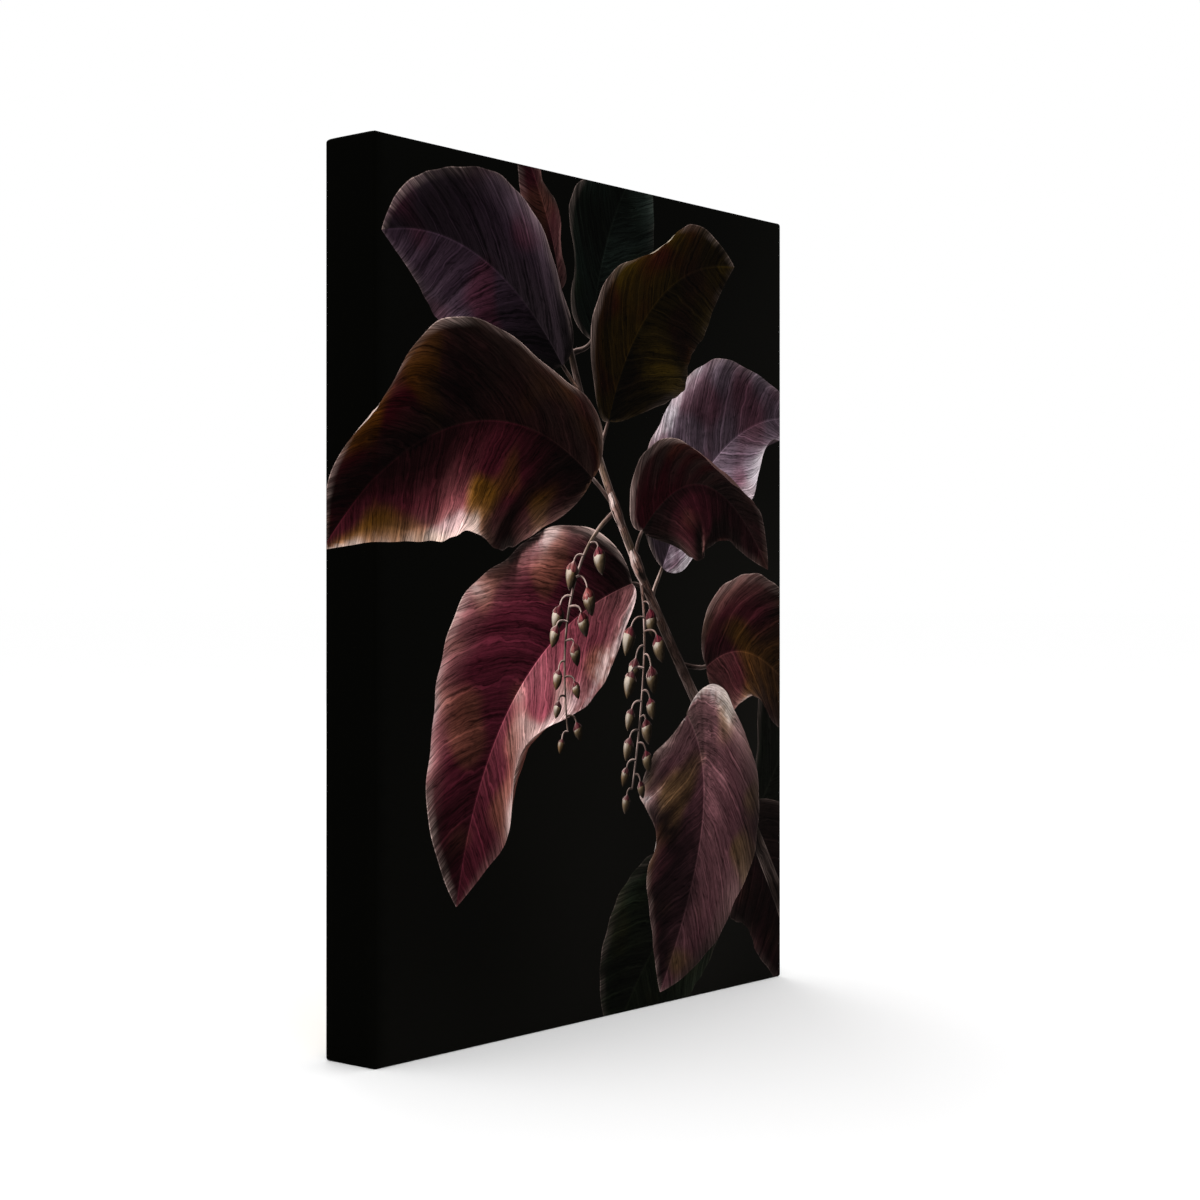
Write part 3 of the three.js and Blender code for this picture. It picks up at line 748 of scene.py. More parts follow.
def ink(picture, flat, hits):
    """The lit colour and the vein facts of points of the cloth, each over a known triangle."""
    place, normal, facts = picture.facts_at(flat, hits)
    underside = normal[:, 2:3] < 0
    normal = normal * np.where(underside, -1.0, 1.0)
    along, across, fibre_x, fibre_y, phase, edge, beside, outward = facts.T
    surface = picture.surface_of[hits]

    def of(give):
        return np.array([give(s) for s in picture.surfaces])[surface]

    owner, light, is_leaf = of(lambda s: s.owner), of(lambda s: s.light), of(lambda s: s.kind == "leaf")
    deep, body, flush, rim = np.moveaxis(of(lambda s: s.tone), 1, 0)
    albedo = pigment(flat, owner, along, across, is_leaf, underside, body, flush, rim)

    facing, shadow, open_air = light_on(picture, flat, place, normal, light)
    direct = (shadow * np.clip(facing, 0, 1) ** 1.5)[:, None]
    through = (shadow * np.clip(-facing, 0, 1))[:, None]
    fill = (open_air * (0.3 + 0.7 * np.clip(normal[:, 1], 0, 1)) * (0.3 + 0.7 * light))[:, None]
    half = unit(KEY_LIGHT + np.array([0, 0, 1.0]))
    gloss = (shadow * np.clip(normal @ half, 0, 1) ** 22)[:, None]
    graze = ((1 - normal[:, 2]) ** 2 * np.clip(facing + 0.25, 0, 1) * (0.1 * light + 0.9 * shadow))[:, None]
    lit = albedo * (DIRECT * direct + FILL * fill) + deep * DEEP_FILL * fill
    lit = lit + albedo ** 1.35 * THROUGH * through
    lit = lit + rim * (GLOSS * gloss + GRAZE * graze * is_leaf[:, None])

    furrows = 0.8 * is_leaf * (0.2 + 0.8 * shadow)
    lit_rim = np.clip(0.06 * light + 1.5 * shadow * np.clip(outward + 0.15, 0, 1), 0, 1.5)
    lit_rim = lit_rim * of(lambda s: RIM_SHOW[s.kind])
    return {
        "ink": deepened(lit) + ground(flat) * 0.4,
        "blade": np.stack([phase, edge, beside], axis=1),
        "relief": np.stack([furrows, lit_rim, of(lambda s: VEIN_SHOW[s.kind])], axis=1),
        "fibre": np.stack([fibre_x, fibre_y, owner * 3.7], axis=1),
    }


# ------------------------------------------------ Putting the picture on the cloth

class Drawing:
    """Collects the points and lines that the cloth's triangles have to follow."""

    def __init__(self, outline, fold_spacing):
        self.points, self.lines, self.index, self.outline = [], [], {}, outline
        self.line(outline + outline[:1])
        for line in fold_lines():
            self.line(divided(line, fold_spacing))

    def point(self, p):
        key = (round(float(p[0]), 3), round(float(p[1]), 3))
        if key not in self.index:
            self.index[key] = len(self.points)
            self.points.append(key)
        return self.index[key]

    def line(self, points):
        ids = [self.point(p) for p in points]
        self.lines += [pair for pair in zip(ids, ids[1:]) if pair[0] != pair[1]]

    def triangles(self):
        """The flat points, and the triangles that lie inside the outline."""
        vectors = [Vector(p) for p in self.points]
        verts, _, faces, _, _, _ = delaunay_2d_cdt(vectors, self.lines, [], 0, 1e-5)
        flat, faces = np.array([tuple(v) for v in verts]), np.array(faces)
        return flat, faces[inside(flat[faces].mean(axis=1), self.outline)]


def scatter(reach, spacing):
    """Points of a triangular grid over the rectangle that reaches this far to each side."""
    rows = int(2 * reach[1] / (spacing * ROW_STEP)) + 1
    columns = int(2 * reach[0] / spacing) + 1
    return np.array([(-reach[0] + (i + 0.5 * (j % 2)) * spacing, -reach[1] + j * spacing * ROW_STEP)
                     for j in range(rows) for i in range(columns)])


def face_layer(picture, outline):
    """The outer face of the cloth, whose triangles follow the picture."""
    drawing = Drawing(outline, FOLD_SPACING)
    area = printed_area()
    for surface in picture.surfaces:
        for line in surface.lines():
            kept = inside(line, area)
            for i in range(len(line) - 1):
                if kept[i] and kept[i + 1]:
                    drawing.line([line[i], line[i + 1]])
    taken = KDTree(len(drawing.points))
    for i, p in enumerate(drawing.points):
        taken.insert((*p, 0), i)
    taken.balance()
    reach = (FLAT_X + CUT_EDGE, FLAT_Z + CUT_EDGE + EAR_ROOM)
    for spacing, part in ((SPRAY_SPACING, "spray"), (FLAP_SPACING, "flap"), (GROUND_SPACING, "ground")):
        grid = scatter(reach, spacing)
        grid = grid[inside(grid, outline)]
        on_flap = farthest_past(grid) > BACK_START
        over = (picture.seen(grid) >= 0) & ~on_flap
        for p in grid[{"spray": over, "flap": on_flap, "ground": ~over & ~on_flap}[part]]:
            if taken.find((*p, 0))[2] > spacing * NEAREST_TO_LINE:
                drawing.point(p)
    return drawing.triangles()


def back_layer(outline):
    """The inner face of the cloth, which is plain: the same cut edge with few points inside."""
    drawing = Drawing(outline, INNER_FOLD_SPACING)
    for p in scatter((FLAT_X - INNER_MARGIN, FLAT_Z - INNER_MARGIN), INNER_SPACING):
        drawing.point(p)
    return drawing.triangles()


def paint(picture, flat, faces):
    """The ink facts of every corner of every triangle, and which triangles are printed."""
    centres = flat[faces].mean(axis=1)
    over = picture.seen(centres)
    over[~inside(centres, printed_area())] = -1
    shown = np.flatnonzero(over >= 0)
    corners = faces[shown].ravel()
    # A corner takes its ink from a point just inside its triangle, where that still sees the same surface
    middles = np.repeat(centres[shown], 3, axis=0)
    probes = flat[corners] + (middles - flat[corners]) * 0.04
    middle_hits = np.repeat(over[shown], 3)
    hits = picture.seen(probes)
    strayed = (hits < 0) | (picture.side_of[hits] != picture.side_of[middle_hits])
    hits = np.where(strayed, middle_hits, hits)
    probes = np.where(strayed[:, None], middles, probes)
    keys = corners * 2 * len(picture.surfaces) + picture.side_of[hits]
    keys = np.where(strayed, -1 - np.repeat(np.arange(len(shown)), 3), keys)
    _, first, back = np.unique(keys, return_index=True, return_inverse=True)
    made = {}
    for name, values in ink(picture, probes[first], hits[first]).items():
        plain = ground(flat)[faces] if name == "ink" else np.zeros((len(faces), 3, 3))
        plain[shown] = values[back].reshape(-1, 3, 3)
        made[name] = plain.reshape(-1, 3)
    return made, farthest_past(centres) < PRINT_EDGE


def ear_rise(flat):
    """How far the folded ears stand off the flaps that they lie on."""
    e = np.abs(flat[:, 1]) - FLAT_Z - BACK_START + EDGE_RADIUS
    from_side = HALF_WIDTH - np.abs(flat[:, 0])
    over = (e - from_side) / math.sqrt(2)
    on_flap = (np.abs(flat[:, 1]) > FLAT_Z + BACK_START) & (np.abs(flat[:, 0]) < FLAT_X)
    return np.where(on_flap, EAR_LIFT * smooth(over, -EAR_EDGE, 0.0), 0)


def pleat_rise(flat):
    """How far the ends' cloth stands off beside the corner seams, where its pleats are tucked under."""
    e = np.abs(flat[:, 1]) - FLAT_Z
    on_end = (np.abs(flat[:, 0]) <= FLAT_X + 1e-6) & (e > 0)
    near_seam = np.exp(-((FLAT_X - np.abs(flat[:, 0])) / PLEAT_REACH) ** 2)
    flatter = 1 - 0.5 * smooth(e, SIDE_END - 4, BACK_START)
    return np.where(on_end, PLEAT_LIFT * near_seam * smooth(e, 0.0, 5.0) * flatter, 0)


def slack_rise(flat):
    """How far the flaps stand off the wood between the staples and fittings that hold them down."""
    placed = fold(flat, 0.0) / MM
    gap = np.full(len(flat), 1e9)
    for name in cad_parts:
        if name.startswith(("staple_", "hanger", "bumper_")):
            low, high = (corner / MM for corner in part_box(name))
            aside = np.maximum(np.maximum(low.x - placed[:, 0], placed[:, 0] - high.x), 0)
            above = np.maximum(np.maximum(low.z - placed[:, 2], placed[:, 2] - high.z), 0)
            gap = np.minimum(gap, np.hypot(aside, above))
    e = farthest_past(flat)
    free_from = BACK_START + 4
    dimple = FLAP_LIFT * (1 - np.exp(-(gap / DIMPLE_REACH) ** 2))
    frill = FRILL_LIFT * smooth(e, free_from, CUT_EDGE) * (1 - np.exp(-(gap / FRILL_REACH) ** 2))
    return smooth(e, BACK_START, free_from) * (dimple + frill)


def folded(flat, thickness=0.0):
    """The layout's points, or those this far under them, on the folded cloth with all its slack."""
    return fold(flat, ear_rise(flat) + pleat_rise(flat) + slack_rise(flat) - thickness)


def bake_places(flat, faces, inner_flat, inner_faces, outline):
    """Every corner's place in the unit square: the face is large, and the inner face small beside it."""
    scale = 1 / BAKE_SPAN
    middle = np.array([(FLAT_X + CUT_EDGE) * scale, 0.5]) + BAKE_MARGIN
    column = 1 - 2 * middle[0]
    open_size = np.array([HALF_WIDTH, HALF_HEIGHT]) - BAR_COVER
    hidden = np.maximum(np.abs(inner_flat) - open_size, 0)
    inner_flat = np.sign(inner_flat) * (np.minimum(np.abs(inner_flat), open_size) + hidden * HIDDEN_SCALE)
    inner_scale = column * INNER_WIDTH / (2 * np.abs(inner_flat[:, 0]).max())
    inner_middle = np.array([2 * middle[0] + column * INNER_MIDDLE, 0.5])
    edge = np.array(outline)
    ahead = unit(np.roll(edge, -1, axis=0) - np.roll(edge, 1, axis=0))
    past = edge + np.stack([ahead[:, 1], -ahead[:, 0]], axis=1) * RIM_WIDTH
    rim = np.stack([edge, past, np.roll(past, -1, axis=0), np.roll(edge, -1, axis=0)], axis=1)
    return np.concatenate([
        flat[faces.ravel()] * scale + middle,
        inner_flat[inner_faces.ravel()] * inner_scale + inner_middle,
        rim.reshape(-1, 2) * scale + middle])


def add_facts(mesh, facts):
    """Stores the ink facts of the first corners of a mesh. The other corners' are 0."""
    for name, values in facts.items():
        kind, field, width = ("FLOAT_COLOR", "color", 4) if name == "ink" else ("FLOAT_VECTOR", "vector", 3)
        data = np.zeros((len(mesh.loops), width), np.float32)
        data[:len(values), :3] = values
        mesh.attributes.new(name, kind, "CORNER").data.foreach_set(field, data.ravel())


def add_map(mesh, name, places):
    mesh.uv_layers.new(name=name).data.foreach_set("uv", places.astype(np.float32).ravel())


def make_canvas():
    """The whole sheet, folded: printed face, bare inner face, and the cut edge that joins them."""
    outline = cloth_outline()
    picture = Picture(picture_surfaces())
    flat, faces = face_layer(picture, outline)
    facts, printed = paint(picture, flat, faces)
    inner_flat, inner_faces = back_layer(outline)
    inner_faces = inner_faces[:, ::-1]
    ring = np.arange(len(outline))
    after = np.roll(ring, -1)
    rim = np.stack([ring, ring + len(flat), after + len(flat), after], axis=1)
    polygons = faces.tolist() + (inner_faces + len(flat)).tolist() + rim.tolist()
    mesh = bpy.data.meshes.new("canvas_print")
    mesh.from_pydata(np.concatenate([folded(flat), folded(inner_flat, CLOTH)]).tolist(), [], polygons)
    add_facts(mesh, facts)
    corner_points = np.array([corner for polygon in polygons for corner in polygon])
    add_map(mesh, "cloth", np.concatenate([flat, inner_flat])[corner_points] * MM)
    add_map(mesh, "OFBake", bake_places(flat, faces, inner_flat, inner_faces, outline))
    past = farthest_past(np.array(outline))
    slots = np.ones(len(mesh.polygons), np.int32)
    slots[:len(faces)] = np.where(printed, 0, 1)
    slots[-len(outline):] = np.where(np.maximum(past, np.roll(past, -1)) < PRINT_EDGE, 0, 1)
    mesh.materials.append(printed_cloth())
    mesh.materials.append(bare_cloth())
    mesh.polygons.foreach_set("material_index", slots)
    shade_smooth(mesh, sharpest=50)
    return dress(new_object("canvas_print", mesh), ["canvas"])


# ------------------------------------------------ Materials

class Nodes:
    """Adds nodes to a tree. Each input is a value or another node's output."""

    def __init__(self, tree):
        self.tree = tree

    def set(self, socket, value):
        if isinstance(value, bpy.types.NodeSocket):
            self.tree.links.new(value, socket)
        else:
            socket.default_value = value

    def add(self, kind, inputs=(), output=0, **settings):
        node = self.tree.nodes.new(kind)
        for name, value in settings.items():
            setattr(node, name, value)
        for name, value in dict(inputs).items():
            self.set(node.inputs[name], value)
        return node.outputs[output]

    def math(self, operation, *values):
        return self.add("ShaderNodeMath", dict(enumerate(values)), operation=operation)

    def vector(self, operation, *values, output=0):
        return self.add("ShaderNodeVectorMath", dict(enumerate(values)), output, operation=operation)

    def combined(self, *values):
        return self.add("ShaderNodeCombineXYZ", dict(enumerate(values)))


class Finish(Nodes):
    """The nodes of one material."""

    def __init__(self, name):
        self.material = bpy.data.materials.new(name)
        self.material.use_nodes = True
        super().__init__(self.material.node_tree)

    def done(self, **values):
        for name, value in values.items():
            self.set(self.tree.nodes["Principled BSDF"].inputs[name.replace("_", " ")], value)
        return self.material

    def ramp(self, value, low, high, to_low=0.0, to_high=1.0):
        return self.add("ShaderNodeMapRange", {
            "Value": value, "From Min": low, "From Max": high, "To Min": to_low, "To Max": to_high},
            interpolation_type="SMOOTHSTEP")

    def line_at(self, value, middle, low, high):
        """1 where a value is at the middle, falling to 0 between these distances from it."""
        return self.ramp(self.math("ABSOLUTE", self.math("SUBTRACT", value, middle)), low, high, 1.0, 0.0)

    def mix(self, share, a, b, blend="MIX"):
        inputs = {0: share, 6: rgba(a), 7: rgba(b)}
        return self.add("ShaderNodeMix", inputs, 2, data_type="RGBA", blend_type=blend)

    def object_place(self):
        return self.add("ShaderNodeTexCoord", output="Object")

    def cloth_place(self):
        return self.add("ShaderNodeUVMap", uv_map="cloth")

    def fact(self, name, output="Vector"):
        return self.add("ShaderNodeAttribute", output=output, attribute_name=name)

    def split(self, vector):
        node = self.tree.nodes.new("ShaderNodeSeparateXYZ")
        self.set(node.inputs[0], vector)
        return node.outputs

    def noise(self, vector, scale, detail=3.0, roughness=0.5):
        return self.add("ShaderNodeTexNoise", {
            "Vector": vector, "Scale": scale, "Detail": detail, "Roughness": roughness})

    def net(self, vector, randomness, width):
        """The lines between cells of about unit size: 1 on a line and 0 this far from it."""
        away = self.add("ShaderNodeTexVoronoi", {"Vector": vector, "Scale": 1.0, "Randomness": randomness},
                        feature="DISTANCE_TO_EDGE")
        return self.ramp(away, 0.0, width, 1.0, 0.0)

    def bump(self, height, strength, distance):
        return self.add("ShaderNodeBump", {"Height": height, "Strength": strength, "Distance": distance})


def rgba(tint):
    """A colour socket's value, from hex digits or linear light. A node's output stays as it is."""
    if isinstance(tint, bpy.types.NodeSocket):
        return tint
    parts = colour(tint) if isinstance(tint, str) else tint
    return (*[float(part) for part in parts], 1.0)


# Across which distances from its middle the midrib fades, and from an edge its broad glow and its bright line
RIB_FADE, GLOW_FADE, LINE_FADE = (0.3, 1.1), (0.3, 7.0), (0.1, 0.85)
# How high the weave stands where it is printed and where it is bare, in metres
PRINTED_WEAVE, BARE_WEAVE = 0.0001, 0.00015


def weave(n):
    """The height of a plain weave with some slubs, from 0 to 1, on the cloth's own flat layout."""
    flat = n.cloth_place()
    turns = math.pi / (THREAD * MM)
    a, b, _ = n.split(n.vector("MULTIPLY", flat, (turns, turns, 0)))
    crossing = n.math("MULTIPLY", n.math("SINE", a), n.math("SINE", b))
    thread = n.math("POWER", n.math("ABSOLUTE", crossing), 0.6)
    slub = n.noise(n.vector("MULTIPLY", flat, (1.0, 6.0, 1.0)), 260.0, 2.0)
    return n.math("MULTIPLY", thread, n.math("MULTIPLY_ADD", slub, 0.6, 0.6))


def printed_cloth():
    """Matte ink on canvas: the ink of each corner, with the veins and the lit rims that are finer than it."""
    n = Finish("printed_cloth")
    base = n.fact("ink", "Color")
    phase, edge, beside = n.split(n.fact("blade"))
    furrows, rim, strength = n.split(n.fact("relief"))
    fibre = n.fact("fibre")

    wobble = n.noise(fibre, 0.11, 2.0)
    wave = n.math("MULTIPLY", n.math("MULTIPLY_ADD", wobble, 0.5, phase), 2 * math.pi)
    ridge = n.ramp(n.math("COSINE", wave), 0.96, 1.0)
    slope = n.math("MULTIPLY", n.math("SINE", wave), furrows)
    rib = n.ramp(n.math("ABSOLUTE", beside), *RIB_FADE, 1.0, 0.0)
    grain = n.noise(fibre, 0.8, 4.0, 0.7)
    swayed = n.vector("ADD", fibre, n.combined(n.math("MULTIPLY", wobble, 5.0)))

    def along_fibres(across, along):
        return n.vector("MULTIPLY", swayed, (across, along, 1.0))

    net = n.net(along_fibres(0.24, 0.07), 0.9, 0.09)
    fine_net = n.net(along_fibres(0.8, 0.2), 1.0, 0.14)
    streak = n.noise(along_fibres(0.5, 0.02), 1.0, 1.5, 0.6)
    hair = n.noise(along_fibres(1.5, 0.05), 1.0, 2.0, 0.7)
    crinkle = n.noise(along_fibres(0.2, 0.022), 1.0, 2.0, 0.5)
    furrow = n.line_at(crinkle, 0.5, 0.0, 0.022)
    crest = n.line_at(crinkle, 0.53, 0.0, 0.024)

    def centred(value):
        return n.math("SUBTRACT", value, 0.5)

    change = n.math("MULTIPLY", slope, 0.26)
    for value, gain in ((ridge, 0.75), (net, -0.3), (fine_net, -0.1), (furrow, -0.22), (crest, 0.3),
                        (centred(streak), 1.6), (centred(hair), 2.4), (centred(grain), 1.0), (rib, 0.8)):
        change = n.math("MULTIPLY_ADD", value, gain, change)
    gain = n.math("MAXIMUM", n.math("MULTIPLY_ADD", change, strength, 1.0), 0.25)
    veined = n.mix(1.0, base, n.combined(gain, gain, gain), "MULTIPLY")

    glint = n.ramp(n.math("MULTIPLY_ADD", hair, 0.6, n.math("MULTIPLY", streak, 0.4)), 0.42, 0.62, 0.3, 1.4)
    broad = n.math("MULTIPLY", n.ramp(edge, *GLOW_FADE, 0.16, 0.0), glint)
    near_edge = n.ramp(edge, *LINE_FADE, 1.0, 0.0)
    lit_edge = n.math("MULTIPLY_ADD", near_edge, n.math("MULTIPLY", glint, 0.55), broad)
    fitful = n.ramp(n.noise(fibre, 0.045, 2.0), 0.38, 0.62, 0.25, 1.5)
    lit_edge = n.math("MULTIPLY", n.math("MULTIPLY", lit_edge, fitful), rim)
    inked = n.mix(n.math("MINIMUM", lit_edge, 0.85), veined, "d6b9b0")
    return n.done(Base_Color=inked, Roughness=0.9, Specular_IOR_Level=0.012,
                  Normal=n.bump(weave(n), 0.12, PRINTED_WEAVE))


def bare_cloth():
    """Unprinted cotton canvas: off-white, with its weave, slubs and seed specks."""
    n = Finish("bare_cloth")
    height = weave(n)
    flat = n.cloth_place()
    base = n.mix(n.noise(flat, 9.0, 3.0), "e2dbcb", "d0c6b1")
    speck = n.ramp(n.noise(n.vector("MULTIPLY", flat, (1.0, 2.5, 1.0)), 420.0, 2.0), 0.69, 0.75)
    base = n.mix(n.math("MULTIPLY", speck, 0.6), base, "8a7350")
    # Painted shade: the cloth is darker in the weave's hollows, where the threads dip
    base = n.mix(n.ramp(height, 0.0, 0.6, 0.35, 0.0), base, "b9ae98")
    return n.done(Base_Color=base, Roughness=0.92, Specular_IOR_Level=0.1,
                  Normal=n.bump(height, 0.5, BARE_WEAVE))


# The woods: their colours, how many mm apart their rings lie and how much the rings, flecks and knots show
PINE = dict(pale="e6cb9c", dark="b98546", ring_gap=2.6, ring_share=0.85, flecks=0.0, knots=1.0)
BEECH = dict(pale="cda97f", dark="a67c50", ring_gap=1.3, ring_share=0.35, flecks=0.7, knots=0.0)
# How far apart knots lie along the grain, and how far apart their rows lie through the wood, in metres
KNOT_APART = 0.15
KNOT_ROW = 0.05
KNOT_RADIUS = 0.0036
# How far round a knot the rings swerve, and by how much
SWERVE_REACH = 0.022
KNOT_SWERVE = 0.0085
KNOT_OVAL = 0.62
KNOT_UNEVEN = 0.0024
KNOT_SHADE = 0.010
BARK = 0.0002
# How far the grain wanders, and the share of a length along it that counts for the grain and for the flecks,
# so that both are drawn out
GRAIN_WANDER = 0.012
GRAIN_STRETCH = 0.045
FLECK_STRETCH = 0.16
# The wave texture's scale at which its rings lie 1 mm apart
RING_SCALE = 314.0


def knot_distance(n, place, along):
    """How far a point is from the heart of the nearest knot, and which way. Knots look along the y axis."""
    axes = n.split(place)
    spot = n.combined(n.math("MULTIPLY", axes[along], 1 / KNOT_APART),
                      n.math("MULTIPLY", axes[1], 1 / KNOT_ROW))
    knot = n.add("ShaderNodeTexVoronoi", {"Vector": spot, "Scale": 1.0}, "Position", voronoi_dimensions="2D")
    apart = n.vector("MULTIPLY", n.vector("SUBTRACT", spot, knot), (KNOT_APART * KNOT_OVAL, KNOT_ROW, 0.0))
    away = n.vector("LENGTH", apart, output="Value")
    uneven = n.math("SUBTRACT", n.noise(place, 160.0, 2.0), 0.5)
    return n.math("MULTIPLY_ADD", uneven, KNOT_UNEVEN, away), apart


def wood(name, along, pale, dark, ring_gap, ring_share, flecks, knots):
    """Planed wood whose grain runs along one axis: 0 for x and 2 for z."""
    n = Finish(name)
    place = n.object_place()

    def drawn_out(share):
        stretch = [1.0, 1.0, 1.0]
        stretch[along] = share
        return n.vector("MULTIPLY", place, tuple(stretch))

    grain = drawn_out(GRAIN_STRETCH)
    away, apart = knot_distance(n, place, along)
    core = n.ramp(away, KNOT_RADIUS - BARK, KNOT_RADIUS + 2 * BARK, knots, 0.0)
    bark = n.math("MULTIPLY", n.line_at(away, KNOT_RADIUS, BARK, 4 * BARK), knots)
    heart = n.noise(apart, 1500.0, 3.0, 0.6)
    near_knot = n.ramp(away, 0.0, SWERVE_REACH, 1.0, 0.0)
    swerve = n.math("MULTIPLY", n.math("POWER", near_knot, 2.2), KNOT_SWERVE * knots)

    bend = n.math("MULTIPLY_ADD", n.noise(grain, 26.0, 2.0), GRAIN_WANDER, swerve)
    shifted = n.vector("ADD", n.combined(bend, bend, bend), grain)
    rings = n.add("ShaderNodeTexWave", {
        "Vector": shifted, "Scale": RING_SCALE / ring_gap, "Distortion": 2.5, "Detail": 3.0,
        "Detail Scale": 1.4}, wave_type="RINGS", rings_direction="XYZ"[along], wave_profile="SAW")
    late = n.math("MULTIPLY", n.ramp(rings, 0.35, 0.92), n.ramp(rings, 0.93, 1.0, ring_share, 0.0))
    pores = n.noise(grain, 1800.0, 4.0, 0.7)
    clouds = n.noise(grain, 90.0, 2.0)
    ray = n.ramp(n.noise(drawn_out(FLECK_STRETCH), 2400.0, 1.0), 0.60, 0.68, 0.0, flecks)
    dark = colour(dark)
    base = n.mix(late, pale, dark)
    base = n.mix(n.ramp(clouds, 0.3, 0.7, 0.0, 0.25), base, dark)
    base = n.mix(n.ramp(pores, 0.4, 0.75, 0.0, 0.4), base, dark)
    base = n.mix(ray, base, dark * 0.45)
    base = n.mix(n.ramp(away, KNOT_RADIUS, KNOT_SHADE, 0.5 * knots, 0.0), base, dark * 0.75)
    base = n.mix(core, base, n.mix(heart, dark * 0.62, dark * 0.2))
    base = n.mix(bark, base, dark * 0.16)
    return n.done(Base_Color=base, Roughness=n.ramp(pores, 0.2, 0.8, 0.5, 0.68), Specular_IOR_Level=0.3,
                  Normal=n.bump(pores, 0.15, 0.0002))


def lying_and_standing(name, kinds):
    """One wood with its grain along x and with its grain along z."""
    return wood(name + "_lying", 0, **kinds), wood(name + "_standing", 2, **kinds)


def metal(name, tint, roughness, scale):
    """Plated steel with mottled plating, dull patches and fine scratches."""
    n = Finish(name)
    place = n.object_place()
    spots = n.noise(place, scale, 4.0, 0.6)
    dull = n.noise(place, scale * 0.22, 2.0)
    scratch = n.ramp(n.noise(n.vector("MULTIPLY", place, (1.0, 1.0, 0.1)), scale * 5, 1.0), 0.6, 0.7)
    shade = colour(tint)
    base = n.mix(spots, shade * 0.62, np.minimum(shade * 1.15, 1))
    base = n.mix(n.ramp(dull, 0.45, 0.75, 0.0, 0.55), base, shade * 0.5)
    rough = n.ramp(spots, 0.3, 0.7, roughness - 0.1, roughness + 0.14)
    rough = n.math("ADD", rough, n.ramp(dull, 0.45, 0.75, 0.0, 0.18))
    height = n.math("MULTIPLY_ADD", scratch, -0.4, spots)
    return n.done(Base_Color=base, Metallic=1.0, Roughness=rough, Normal=n.bump(height, 0.12, 0.0001))


def bumper_rubber():
    n = Finish("bumper_rubber")
    dust = n.noise(n.object_place(), 900.0, 3.0)
    base = n.mix(n.ramp(dust, 0.45, 0.8), "242425", "3c3b3a")
    return n.done(Base_Color=base, Roughness=n.ramp(dust, 0.3, 0.7, 0.36, 0.55),
                  Normal=n.bump(dust, 0.08, 0.0001))


# ------------------------------------------------ The frame, its keys and its fittings

# How far the edges of the bars, the keys and the hanger are rounded over, in mm
BAR_SOFTNESS = 0.35
KEY_SOFTNESS = 0.3
HANGER_SOFTNESS = 0.14
# Shares of a bumper: its straight wall's of its height, and its flat crown's of its radius
BUMPER_WALL = 0.35
BUMPER_CROWN = 0.62
# A nail's dome, shank and tip
NAIL_DOME = 0.9 * MM
NAIL_RADIUS = 0.6 * MM
NAIL_TIP = 1.2 * MM
STAPLE_SIZES = {
    "Crown": 11 * MM, "Leg": 8 * MM, "Wire Width": 1.25 * MM, "Wire Thickness": 0.5 * MM, "Bend": 0.45 * MM,
    "Unevenness": math.radians(0.8), "Seed": 11}


def softened_copy(node, name, width, material, angle=28):
    """A copy of a solid with its flat faces joined up and its edges rounded over."""
    bm = bmesh.new()
    bm.from_mesh(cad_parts[node].data)
    bmesh.ops.remove_doubles(bm, verts=bm.verts, dist=1e-6)
    bmesh.ops.dissolve_limit(bm, angle_limit=math.radians(1), verts=bm.verts, edges=bm.edges)
    mesh = mesh_of(bm, name)
    mesh.materials.clear()
    mesh.materials.append(material)
    piece = new_object(name, mesh)
    bevel = piece.modifiers.new("edges", "BEVEL")
    bevel.width = width * MM
    bevel.segments = 2
    bevel.limit_method = "ANGLE"
    bevel.angle_limit = math.radians(angle)
    bevel.harden_normals = True
    made = plain_mesh(piece)
    piece.modifiers.clear()
    piece.data = made
    return dress(piece, [node])


def make_frame():
    lying, standing = lying_and_standing("pine", PINE)
    sides = (("top", lying), ("bottom", lying), ("left", standing), ("right", standing))
    return [softened_copy(f"stretcher_{side}", f"bar_{side}", BAR_SOFTNESS, pine)
            for side, pine in sides]


def make_keys():
    lying, standing = lying_and_standing("beech", BEECH)
    for side in ("top", "right", "bottom", "left"):
        for way in ("along", "across"):
            node = f"key_{side}_{way}"
            low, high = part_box(node)
            beech = lying if high.x - low.x > high.z - low.z else standing
            softened_copy(node, f"{side}_key_{way}", KEY_SOFTNESS, beech)


def turned_piece(name, node, profile, steps, material):
    """A body turned about the y axis through the middle of a CAD node, from (radius, y) points."""
    low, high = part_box(node)
    centre = (low + high) / 2
    bm = bmesh.new()
    rings = []
    for radius, y in profile:
        turns = [2 * math.pi * i / steps for i in range(steps if radius else 1)]
        rings.append([bm.verts.new((centre.x + radius * math.cos(t), y, centre.z + radius * math.sin(t)))
                      for t in turns])
    for one, two in zip(rings, rings[1:]):
        for i in range(steps):
            j = (i + 1) % steps
            around = [one[i % len(one)], one[j % len(one)], two[j % len(two)], two[i % len(two)]]
            bm.faces.new(list(dict.fromkeys(around)))
    bmesh.ops.recalc_face_normals(bm, faces=bm.faces)
    mesh = mesh_of(bm, name)
    mesh.materials.append(material)
    shade_smooth(mesh, sharpest=40)
    return dress(new_object(name, mesh), [node])


